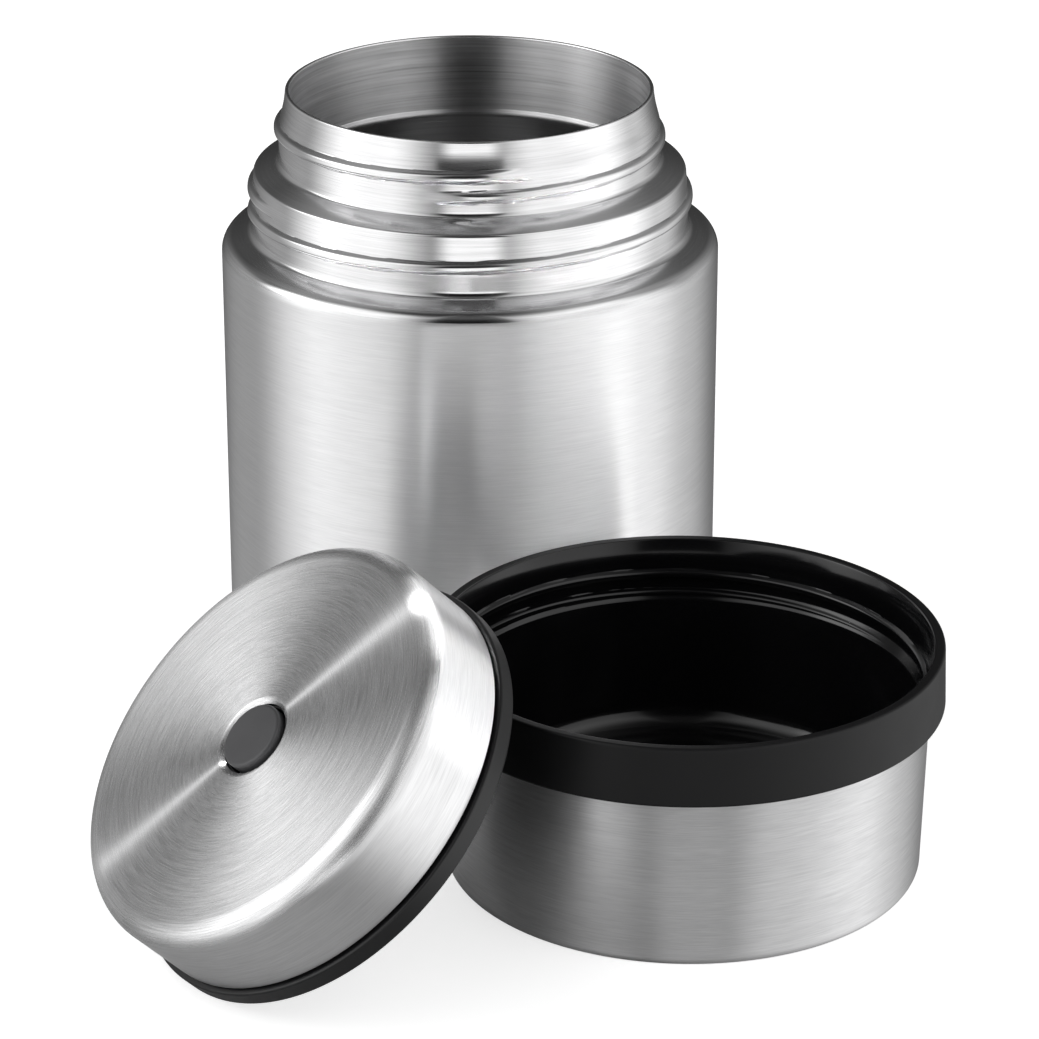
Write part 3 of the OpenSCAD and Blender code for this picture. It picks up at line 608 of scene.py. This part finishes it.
# Steels: roughness (or the finish that sets it), anisotropy, marks in a millimetre of profile, marks round
# the piece, bands in a millimetre, depth of the marks in millimetres, spread of the roughness, tint, spread
# of the tint, and share of the bands
STEELS = {
    "steel body": ("body_rough", 0.92, 4.5, 7.0, 0.12, 0.0025, 0.03, 1.0, 0.09, 0.06),
    "steel neck": ("neck_rough", 0.6, 3.5, 2.5, 0.5, 0.0008, 0.05, 1.0, 0.14, 0.15),
    # The mouth's tint of 1.12 is painted light and the chamber's 0.75 is painted shade, on one inner sheet of
    # steel.
    "steel mouth": ("body_rough", 1.0, 2.4, 1.2, 0.9, 0.0060, 0.08, 1.12, 0.5, 0.4),
    "steel chamber": (0.3, 0.7, 2.0, 1.0, 0.3, 0.0010, 0.04, 0.75, 0.15, 0.15),
    "steel lid": ("lid_rough", 1.0, 4.0, 5.0, 0.3, 0.0100, 0.03, 1.0, 0.32, 0.12),
    "steel skirt": (0.3, 0.8, 4.5, 7.0, 0.3, 0.0030, 0.03, 1.0, 0.14, 0.05),
    "steel cup": ("body_rough", 0.91, 4.5, 8.0, 0.3, 0.0028, 0.04, 1.0, 0.14, 0.06),
    "steel small": (0.2, 0.4, 6.0, 2.0, 0.5, 0.0006, 0.03, 1.1, 0.06, 0.15),
}

# Plastics: colour (or the finish that sets it), roughness, grains in a metre, depth of the grain in
# millimetres, coat, specular level, and how far light enters
PLASTICS = {
    "black band": ("black", 0.42, 2600, 0.006, 0.0, 0.3, 0.0),
    "black liner": ("black", 0.14, 900, 0.0015, 0.15, 0.4, 0.0),
    "black base": ("black", 0.36, 2200, 0.006, 0.0, 0.45, 0.0),
    "grey button": ("button", 0.42, 3000, 0.010, 0.0, 0.5, 0.0),
    "seal silicone": ("silicone", 0.5, 1500, 0.004, 0.0, 0.5, 0.15),
    "cell foam": ("foam", 0.9, 1800, 0.12, 0.0, 0.5, 0.0),
    "getter": ((0.08, 0.08, 0.085), 0.6, 4000, 0.03, 0.0, 0.5, 0.0),
}
# The darker foil colour is painted shade, laid into the hollows of the crease bump.
FOIL_CREASE_SHADE, FOIL_LIGHT = (0.78, 0.78, 0.79), (0.92, 0.92, 0.93)
FOIL_ROUGH, FOIL_CREASES, FOIL_DEPTH = (0.12, 0.3), 350, 0.15


def foil_material():
    """Creased foil, with painted shade: its colour darkens in the hollows of its creases."""
    tree, shader = new_material("bright foil")[1:]
    crease = noise(tree, own_vector(tree), scale=FOIL_CREASES, detail=4, rough=0.6)
    feed(tree, shader, {
        "Metallic": 1,
        "Base Color": mixed(tree, crease, FOIL_CREASE_SHADE, FOIL_LIGHT),
        "Roughness": ramp(tree, crease, *SPREAD, *FOIL_ROUGH),
        "Normal": bumped(tree, crease, FOIL_DEPTH)})


def finish_of(name):
    """The finish of that name. The first call makes all of them."""
    if "steel body" not in bpy.data.materials:
        finish = sizes("finish")
        groups = {"brushing": brushing_group(), "wear": wear_group()}
        for make, table in ((steel_material, STEELS), (plastic_material, PLASTICS)):
            for label, (first, *rest) in table.items():
                make(label, groups, getattr(finish, first) if isinstance(first, str) else first, *rest)
        foil_material()
    return bpy.data.materials[name]


def dress(piece, material, body, slot, *nodes):
    """Gives a new piece its finish and body, and hides the CAD nodes that it stands for. The slot is not
    used.
    """
    piece.data.materials.append(finish_of(material))
    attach(piece, body)
    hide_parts(*nodes)
    return piece


def second_finish(piece, material, rows):
    """Gives the faces of the marked profile rows another finish."""
    piece.data.materials.append(finish_of(material))
    row = np.arange(len(piece.data.polygons)) // AROUND
    piece.data.polygons.foreach_set("material_index", rows[np.minimum(row, len(rows) - 1)].astype(np.int32))


# Pieces. Each corner of a profile is (radius, height, rounding).

class FOODJAR_OT_jar(bpy.types.Operator):
    """Turns the jar: outer shell with its two rolled threads, inner vessel, rim and base"""
    bl_idname = "foodjar.jar"
    bl_label = "Jar"

    def shell(self, jar, thread, place):
        """The outer shell. Its threads are rolled into the outer face alone."""
        path = [
            (jar.body_r - jar.hem_w, 0, 0), (jar.body_r, 0, 2.2), (jar.body_r, jar.body_z, 3),
            (jar.low_foot_r, jar.low_foot_z, 1.5), (jar.low_foot_r, jar.low_mid_z, 20),
            (jar.low_top_r, jar.low_top_z, 0.7), (jar.top_foot_r, jar.top_foot_z, 1.2),
            (jar.top_mid_r, jar.top_mid_z, 6), (jar.top_lip_r, jar.top_lip_z, 25),
            (jar.rim_r, jar.sheet_z, 0)]
        fine = 0.17
        zones = [(jar.low_foot_z + 2, jar.low_top_z, fine), (jar.top_foot_z + 1, jar.top_mid_z + 2, fine)]
        outer = refine(soften(path), zones, closed=False)
        inner = soften(aside(path, SHEET_T))[::-1]

        def relief(r, z, phi):
            """The two rolled beads."""
            bead = thread, "bead", phi, z
            beads = np.maximum(winding(*bead, thread.top_start, thread.top_turns, thread.top_z),
                               winding(*bead, thread.low_start, thread.low_turns, thread.low_z))
            outside = (np.arange(r.shape[0]) < len(outer))[:, None]
            return np.where(outside, beads, 0)

        shell = turned("jar_shell", np.vstack([outer, inner]), place,
                       ("steel body", "jar", "steel", "outer_shell"), relief)
        neck_from = jar.body_z - 1.2
        second_finish(shell, "steel neck", np.append(outer[:, 1] > neck_from, False))

    def vessel(self, jar, place):
        """The inner vessel, with a rolled ring at its mouth's foot."""
        floor = jar.floor_z - SHEET_T
        path = [
            (0, floor, 0), (jar.chamber_r, floor, 12), (jar.chamber_r, jar.chamber_z, 8),
            (jar.mouth_r - jar.step, jar.mouth_z, 0.9), (jar.mouth_r, jar.mouth_z + 1.1, 0.5),
            (jar.mouth_r, jar.sheet_z, 0)]
        points = sheet(path, SHEET_T)
        # The mouth's steel is tinted lighter than the body's as painted light, and the chamber's darker as
        # painted shade.
        vessel = turned("jar_vessel", points, place, ("steel mouth", "jar", "steel", "inner_vessel"))
        second_finish(vessel, "steel chamber", points[:, 1] < jar.mouth_z + 1)

    def base(self, place):
        """The base plate with its recess, and the seal over its port."""
        t, lift, port = 0.5, 1.5, 0.95
        low = SHEET_T + lift
        base = soften([(1, low, 0), (39, low, 2 * t), (41.6, SHEET_T, 2 * t), (47, SHEET_T, 0)])
        top = base[::-1] + np.array([0, t])
        turned("jar_base", np.vstack([base, top]), place, ("steel body", "jar", "steel", "base_plate"))
        seal_r, seal_t = 3, 0.6
        seal = soften([(0, low - seal_t, 0), (seal_r, low - seal_t, 0.3), (seal_r, low, CLEAR),
                       (port, low, 0), (port, low + t, 0), (0, low + t, 0)])
        turned("jar_port_seal", seal, place, ("steel small", "jar", "bright_steel", "port_seal"),
               around=SMALL_AROUND)

    def execute(self, context):
        jar, thread = sizes("jar"), sizes("thread")
        place = upright("outer_shell")
        self.shell(jar, thread, place)
        self.vessel(jar, place)
        bead, inside = (jar.rim_z - jar.sheet_z) * 0.9, jar.mouth_r - SHEET_T
        rim = solid([(inside, jar.sheet_z, 0), (jar.rim_r, jar.sheet_z, 0), (jar.rim_r, jar.rim_z, bead),
                     (inside, jar.rim_z, bead)])
        turned("jar_rim", rim, place, ("steel small", "jar", "bright_steel", "rim_weld"))
        self.base(place)
        return {"FINISHED"}


class FOODJAR_OT_cup(bpy.types.Operator):
    """Turns the cup: steel shell and black liner with its lip, band and inner ridge"""
    bl_idname = "foodjar.cup"
    bl_label = "Cup"

    def execute(self, context):
        cup, thread = sizes("cup"), sizes("thread")
        place = upright("cup_shell")
        path = [
            (0, cup.recess, 0), (cup.recess_r, cup.recess, cup.recess),
            (cup.recess_r + 2 * cup.recess, 0, cup.recess), (cup.steel_foot_r, 0, 1.6),
            (cup.steel_top_r, cup.band_z + 1, 0)]
        turned("cup_shell_steel", sheet(path, SHEET_T), place, ("steel cup", "cup", "steel", "cup_shell"))

        wall, under = 1.2, cup.floor_z - 1.8
        inside, outside = cup.steel_top_r - SHEET_T - CLEAR, cup.steel_top_r + CLEAR
        groove = cup.band_z + 1 + CLEAR
        zone, slope = cup.height - 10.9, 0.95
        outline = [
            (0, under, 0), (cup.floor_r - 3.8, under, 0.5), (cup.floor_r + wall, under + 5, 1),
            (cup.wall_r + wall, cup.band_z - 3, 0), (inside - 0.07, cup.band_z - 1.8, 0),
            (inside, groove, 0), (outside, groove, 0), (outside, cup.band_z, 0),
            (cup.band_r, cup.band_z, 0.45), (cup.rim_r, cup.height, 0.5), (cup.lip_r, cup.height, 0.5),
            (cup.root_r, cup.height - 3, 12), (cup.root_r, zone + slope, 0.8),
            (cup.wall_r, zone - slope, 0.8), (cup.floor_r, cup.floor_z, 5), (0, cup.floor_z, 0)]
        points = refine(soften(outline), [(zone - 4, cup.height - 2, 0.2)], closed=False)

        def relief(r, z, phi):
            """The moulded ridge, on the inner face alone."""
            ridge = winding(thread, "ridge", phi, z, 0, thread.cup_turns, thread.cup_z)
            late = (np.arange(r.shape[0]) > r.shape[0] / 2)[:, None]
            inner = (r < cup.lip_r) & (z > zone - 2) & late
            over = r - (cup.root_r - ridge)
            return np.where(inner & (ridge > 0), -np.maximum(over, 0), 0)

        liner = turned("cup_liner_black", points, place, ("black band", "cup", "black_plastic", "cup_liner"),
                       relief)
        lip_points = 4
        inside_from = np.argmax(points[:, 1] > cup.height - 0.001) + lip_points
        second_finish(liner, "black liner", np.arange(len(points)) >= inside_from)
        return {"FINISHED"}


class FOODJAR_OT_lid(bpy.types.Operator):
    """Turns the plug lid: steel cover, black base with its ridge, plug and sealing ring"""
    bl_idname = "foodjar.lid"
    bl_label = "Plug lid"

    def cover(self, lid, place):
        """The steel cover, with its edge at the button's hole rolled in."""
        hem_r, hem_z, skirt_from = 0.9, 0.7, lid.cover_top - 3.2
        points = sheet([
            (lid.cover_lip_r, lid.cover_lip_z, 0), (lid.cover_r, lid.cover_top, lid.cover_round),
            (lid.hole_r + hem_r, lid.cover_top, hem_r), (lid.hole_r, lid.cover_top - hem_z, 0)], SHEET_T)
        cover = turned("lid_cover_steel", points, place, ("steel lid", "lid", "steel", "lid_cover"))
        second_finish(cover, "steel skirt", points[:, 1] < skirt_from)

    def base(self, lid, thread, place, under):
        """The black base: ring, threaded skirt, web and the button's well."""
        clear, wall = 0.28, 1.3
        well_r = lid.button_r + clear
        outer_r, well_top = well_r + wall, lid.cover_top - 1.4
        skirt_top = lid.cover_top - lid.cover_round
        web_top = lid.web_z + 1.6
        base = solid([
            (lid.skirt_r, 0, 0.45), (lid.ring_r, 0, 0.45), (lid.ring_r, lid.ring_h, 0.45),
            (lid.skirt_outer_r, lid.ring_h, 0), (lid.skirt_outer_r, skirt_top, 0),
            (lid.skirt_r, skirt_top, 0), (lid.skirt_r, web_top, 0), (outer_r, web_top, 0),
            (outer_r, well_top, 0.3), (well_r, well_top, 0.3), (well_r, lid.well_floor, 0),
            (STEM_HOLE_R, lid.well_floor, 0), (STEM_HOLE_R, under, 0), (outer_r, under, 0),
            (outer_r, lid.web_z, 0), (lid.skirt_r, lid.web_z, 0)])
        base = refine(base, [(1.5, 10, 0.2)])

        def relief(r, z, phi):
            """The moulded ridge, on the skirt's inner face alone."""
            ridge = winding(thread, "ridge", phi, z, 0, thread.lid_turns, thread.lid_z)
            return np.where(np.abs(r - lid.skirt_r) < 0.02, -ridge, 0)

        turned("lid_base_black", base, place, ("black base", "lid", "black_plastic", "lid_base"), relief)

    def plug(self, lid, place, under):
        """The hollow plug with the valve's pocket, and the sealing ring round it."""
        wall, passage = 1.6, 4
        valve = POCKET_H - lid.plug_drop
        floor, top = wall - lid.plug_drop, lid.web_z - CLEAR
        pocket_top, passage_top = valve + wall, under - CLEAR
        plug = solid([
            (POCKET_R, -lid.plug_drop, 0.3), (lid.plug_r, -lid.plug_drop, 2), (lid.plug_r, top, 0),
            (lid.plug_r - wall, top, 0), (lid.plug_r - wall, floor, 0.8), (POCKET_R + wall, floor, 0),
            (POCKET_R + wall, pocket_top, 0), (passage, pocket_top, 0), (passage, passage_top, 0),
            (STEM_HOLE_R, passage_top, 0), (STEM_HOLE_R, valve, 0), (POCKET_R, valve, 0)])
        turned("lid_plug_black", plug, place, ("black base", "lid", "black_plastic", "lid_plug"))

        start = lid.plug_r + CLEAR
        foot_r, far_r, seat = start + 0.9, start + 3.5, lid.web_z - 1.5
        foot = seat - 1.4
        seal = solid([
            (start, foot, 0.1), (foot_r, foot, 0.4), (foot_r, seat, 0.2), (far_r, seat, 0.5),
            (far_r, lid.web_z, 0), (start, lid.web_z, 0)])
        turned("lid_seal_ring", seal, place, ("seal silicone", "lid", "silicone", "lid_seal"))

    def execute(self, context):
        lid, thread = sizes("lid"), sizes("thread")
        place = leaning()
        under = lid.well_floor - 1.5
        self.cover(lid, place)
        self.base(lid, thread, place, under)
        self.plug(lid, place, under)
        return {"FINISHED"}


class FOODJAR_OT_button(bpy.types.Operator):
    """Turns the vent button with its stem, valve and clip, and winds its spring"""
    bl_idname = "foodjar.button"
    bl_label = "Vent button"

    def spring(self, lid, place, high):
        """The spring, which stands on the well's floor under the button."""
        low = lid.well_floor + 2 * CLEAR
        spring = coil("button_spring_steel", lid.spring_r, lid.wire_r, low, high, lid.spring_turns, place)
        dress(spring, "steel small", "lid", "bright_steel", "button_spring")
        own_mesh(spring)

    def execute(self, context):
        lid = sizes("lid")
        place = leaning()
        top, wall = lid.button_top, 1.2
        foot, under, inside = top - 5.4, top - wall, lid.button_r - wall
        self.spring(lid, place, under - 2 * CLEAR)
        cap = soften([
            (0, under, 0), (inside, under, 0.5), (inside, foot, 0.1), (lid.button_r, foot, 0.1),
            (lid.button_r, top, 0.55), (0, top - 0.06, 0)])
        turned("button_cap_grey", cap, place, ("grey button", "vent_button", "grey_plastic", "button_cap"),
               around=2 * SMALL_AROUND)

        low, valve_r, clip_r = -lid.plug_drop, 4.6, 2.8
        seat, valve_top = low + lid.clip_t, low + POCKET_H
        stem = soften([(0, low, 0), (STEM_R, low, 0.3), (STEM_R, under, 0), (0, under, 0)])
        valve = solid([(STEM_R, seat, 0), (valve_r, seat, 0.25), (valve_r, valve_top, 0.15),
                       (STEM_R, valve_top, 0)])
        clip = solid([(STEM_R, low, 0), (clip_r, low, 0.15), (clip_r, seat, 0), (STEM_R, seat, 0)])
        for name, points, material, slot, node in (
                ("button_stem_steel", stem, "steel small", "bright_steel", "button_stem"),
                ("button_valve_disc", valve, "seal silicone", "silicone", "valve_seal"),
                ("button_clip_steel", clip, "steel small", "bright_steel", "stem_clip")):
            turned(name, points, place, (material, "vent_button", slot, node), around=SMALL_AROUND)
        return {"FINISHED"}


class FOODJAR_OT_inner(bpy.types.Operator):
    """Gives the pieces that stay inside the walls and the plug their finishes"""
    bl_idname = "foodjar.inner"
    bl_label = "Inner pieces"

    def execute(self, context):
        for node, material in (("getter", "getter"), ("foil", "bright foil"), ("cup_foam", "cell foam"),
                               ("lid_foam", "cell foam")):
            slots = frame["nodes"][node].data.materials
            slots.clear()
            slots.append(finish_of(material))
        return {"FINISHED"}


# Stage

BOX_INPUTS = "Centre", "Half", "Edge", "Low", "High", "Rise"


def soft_box_group():
    """How much of a soft light a direction meets: 1 inside its azimuths and elevations, 0 outside, with a
    smooth edge."""
    inputs = dict.fromkeys(("Azimuth", "Elevation", *BOX_INPUTS), 0.0)
    group, gin, gout = new_group("soft box", inputs, "Mask")
    out = gin.outputs
    down, up = ("ADD", "SUBTRACT"), ("SUBTRACT", "ADD")

    def edge(value, at, soft, ends):
        """A smooth step, down or up, across an edge."""
        return ramp(group, value, *(math_node(group, end, out[at], out[soft]) for end in ends))

    off = math_node(group, "SUBTRACT", out["Azimuth"], out["Centre"])
    off = math_node(group, "ABSOLUTE", math_node(group, "WRAP", off, math.pi, -math.pi))
    side = edge(off, "Half", "Edge", down)
    low = edge(out["Elevation"], "Low", "Rise", up)
    high = edge(out["Elevation"], "High", "Rise", down)
    mask = math_node(group, "MULTIPLY", side, math_node(group, "MULTIPLY", low, high))
    group.links.new(mask, gout.inputs["Mask"])
    return group


# Soft boxes of the studio: azimuth of the middle (0 is towards the viewer, positive to the right), half
# width, edge, lowest and highest elevation, rise (all in degrees), and brightness. The black card dims what
# is behind it.
SOFT_BOXES = (
    (-62, 32, 20, -27, 60, 13, 1.36),
    (-91, 18, 10, 18, 42, 9, 2.1),
    (62, 38, 17, -27, 60, 13, 1.0),
    (97, 36, 16, -111, 3, 15, 0.37),
    (1, 15, 6, -17, 3, 3, 1.15),
    (17, 45, 20, -100, 12, 16, 0.20),
    (101, 60, 30, 40, 73, 12, 0.40),
    (-141, 39, 30, 40, 73, 14, 0.34),
    (-113, 32, 26, -37, 28, 13, 0.37),
    (115, 32, 26, -47, 36, 12, 0.40),
    (-168, 29, 15, -50, -21, 10, 0.44),
    (1, 24, 10, 50, 84, 12, 0.42),
)
BLACK_CARD = (1, 20, 2.5, 5.5, 100, 2.5, 0.78)
STUDIO_BASE = 0.045

# Far lamps: name, azimuth, elevation and width in degrees, power, the one piece that each lights, and
# whether others shade it. The fill lamps undo the cup's and the lid's dark reflections in the jar's front.
FAR_LAMPS = (
    ("streak", -168, 54, 0.6, 1.2, "lid_cover_steel", True),
    ("back_edge", 150, 42, 50, 0.7, "lid_cover_steel", True),
    ("right_edge", 118, 12, 56, 0.6, "lid_cover_steel", False),
    ("fill_right", 58, -48, 56, 0.66, "jar_shell", False),
    ("fill_front", -5, -50, 60, 0.36, "jar_shell", False),
    ("fill_left", -66, -45, 40, 0.26, "jar_shell", False),
)
FLOOR_HALF, FLOOR_GREY, FLOOR_GLOW = 6.0, 0.82, 0.70
# The patch is a sheet of painted shade: a grey darker than the floor where the lid's shadow falls, which the
# lid also shades for real.
PATCH_AT, PATCH_HALF, PATCH_SHADE_GREY = (-0.045, -0.082, 0.0), 0.085, 0.6
PATCH_FADE = 0.074, 0.045
CAMERA_FROM_JAR, CAMERA_Z = (0.00995, -0.79468), 0.36371
CAMERA_DOWN, CAMERA_LENS, CAMERA_SENSOR = 22.82, 144.02, 36


def studio_world():
    """A white surround for the camera, and a dim studio with large soft boxes for everything else."""
    world = bpy.data.worlds.new("studio")
    world.use_nodes = True
    tree = world.node_tree
    tree.nodes.clear()
    direction = add_node(tree, "TexCoord").outputs["Generated"]
    x, y, z = add_node(tree, "SeparateXYZ", (direction,)).outputs
    azimuth = math_node(tree, "ARCTAN2", x, math_node(tree, "MULTIPLY", y, -1.0))
    elevation = math_node(tree, "ARCSINE", z)
    group = soft_box_group()

    def soft_box(where):
        """Mask of one soft box."""
        spans = dict(zip(BOX_INPUTS, map(math.radians, where)))
        values = {"Azimuth": azimuth, "Elevation": elevation, **spans}
        return add_node(tree, "Group", values, node_tree=group).outputs["Mask"]

    level = STUDIO_BASE
    for *where, strength in SOFT_BOXES:
        level = math_node(tree, "MULTIPLY_ADD", soft_box(where), strength, level)
    *where, strength = BLACK_CARD
    card = math_node(tree, "MULTIPLY_ADD", soft_box(where), -strength, 1.0)
    level = math_node(tree, "MULTIPLY", level, card)
    white = (1, 1, 1, 1)
    seen = add_node(tree, "LightPath").outputs["Is Camera Ray"]
    lit = add_node(tree, "Background", (white, level)).outputs[0]
    surround = add_node(tree, "Background", (white,)).outputs[0]
    mix = add_node(tree, "MixShader", (seen, lit, surround)).outputs[0]
    add_node(tree, "OutputWorld", (mix,))
    bpy.context.scene.world = world


def matt_material(name, grey):
    """A matt grey, which floor and the patch of painted shade add to."""
    material, tree, shader = new_material(name)
    feed(tree, shader, {"Base Color": (grey, grey, grey, 1), "Roughness": 1, "Specular IOR Level": 0})
    return material, tree, shader


def floor_material():
    """White floor that glows for the camera alone, so that only the objects' shadow darkens it."""
    material, tree, shader = matt_material("floor", FLOOR_GREY)
    seen = add_node(tree, "LightPath").outputs["Is Camera Ray"]
    glow = math_node(tree, "MULTIPLY", seen, FLOOR_GLOW)
    feed(tree, shader, {"Emission Color": (1, 1, 1, 1), "Emission Strength": glow})
    return material


def shade_patch_material():
    """Painted shade for the table in the lid's shadow: a grey darker than the floor, also shaded for real by
    the lid, which fades out round PATCH_AT.
    """
    material, tree, shader = matt_material("table patch", PATCH_SHADE_GREY)
    away = add_node(tree, "VectorMath", (own_vector(tree), PATCH_AT), operation="DISTANCE").outputs["Value"]
    feed(tree, shader, {"Alpha": ramp(tree, away, *PATCH_FADE)})
    return material


def lay(name, x, y, half, material, unseen):
    """A square of the stage on the ground, which the named kinds of ray don't meet."""
    mesh = bpy.data.meshes.new(name)
    corners = [(x + a * half, y + b * half, 0) for a, b in ((-1, -1), (1, -1), (1, 1), (-1, 1))]
    mesh.from_pydata(corners, [], [range(4)])
    mesh.materials.append(material)
    square = bpy.data.objects.new(name, mesh)
    bpy.context.scene.collection.objects.link(square)
    for kind in unseen:
        setattr(square, "visible_" + kind, False)


def add_far_lamp(name, azimuth, elevation, spread, power, piece, shadow):
    """A far lamp, spread degrees across, that lights one piece. Its direction is given in degrees."""
    light = bpy.data.lights.new(name, "SUN")
    light.angle = math.radians(spread)
    light.energy = power
    light.use_shadow = shadow
    light.cycles.use_multiple_importance_sampling = shadow
    lamp = bpy.data.objects.new(name, light)
    lamp.rotation_euler = (math.radians(90 - elevation), 0, math.radians(azimuth))
    bpy.context.scene.collection.objects.link(lamp)
    lit = bpy.data.collections.new(name)
    lit.objects.link(bpy.data.objects[piece])
    lamp.light_linking.receiver_collection = lit


class FOODJAR_OT_stage(bpy.types.Operator):
    """Sets the floor, the studio's light and the camera"""
    bl_idname = "foodjar.stage"
    bl_label = "Stage"

    def execute(self, context):
        studio_world()
        lay("floor", 0, 0, FLOOR_HALF, floor_material(), ("glossy", "shadow", "diffuse", "transmission"))
        # A grey patch of painted shade where the leaning lid's shadow falls on the table, which only the
        # steel's reflections show
        lay("table_patch", *PATCH_AT[:2], PATCH_HALF, shade_patch_material(),
            ("camera", "diffuse", "shadow", "transmission"))

        jar = upright("outer_shell")[0]
        camera = bpy.data.objects.new("camera", bpy.data.cameras.new("camera"))
        camera.data.sensor_width = CAMERA_SENSOR
        camera.data.lens = CAMERA_LENS
        camera.data.clip_start = 0.01
        camera.location = (jar[0] + CAMERA_FROM_JAR[0], jar[1] + CAMERA_FROM_JAR[1], CAMERA_Z)
        camera.rotation_euler = (math.radians(90 - CAMERA_DOWN), 0, 0)
        context.scene.collection.objects.link(camera)
        context.scene.camera = camera
        context.scene.view_settings.view_transform = "Standard"
        for lamp in FAR_LAMPS:
            add_far_lamp(*lamp)
        return {"FINISHED"}


class FOODJAR_PT_panel(bpy.types.Panel):
    """Lists the pieces"""
    bl_idname = "FOODJAR_PT_panel"
    bl_label = "Food jar"
    bl_space_type = "VIEW_3D"
    bl_region_type = "UI"
    bl_category = "Food jar"

    def draw(self, context):
        for operator in OPERATORS:
            self.layout.operator(operator.bl_idname)
        for name, group in GROUPS.items():
            box = self.layout.box()
            box.label(text=name.split("_")[1].capitalize())
            for prop in group.__annotations__:
                box.prop(getattr(context.scene, name), prop)


OPERATORS = (FOODJAR_OT_jar, FOODJAR_OT_cup, FOODJAR_OT_lid, FOODJAR_OT_button, FOODJAR_OT_inner,
             FOODJAR_OT_stage)
CLASSES = (*GROUPS.values(), *OPERATORS, FOODJAR_PT_panel)


def register():
    """Registers the classes and hangs each property group on the scene."""
    for cls in CLASSES:
        bpy.utils.register_class(cls)
    for name, group in GROUPS.items():
        setattr(bpy.types.Scene, name, bpy.props.PointerProperty(type=group))


def unregister():
    """Takes the property groups and the classes away again."""
    for name in GROUPS:
        delattr(bpy.types.Scene, name)
    for cls in reversed(CLASSES):
        bpy.utils.unregister_class(cls)


def main():
    """Builds everything."""
    register()
    bpy.ops.foodjar.jar()
    bpy.ops.foodjar.cup()
    bpy.ops.foodjar.lid()
    bpy.ops.foodjar.button()
    bpy.ops.foodjar.inner()
    bpy.ops.foodjar.stage()
    bpy.context.view_layer.update()


if __name__ == "__main__":
    main()
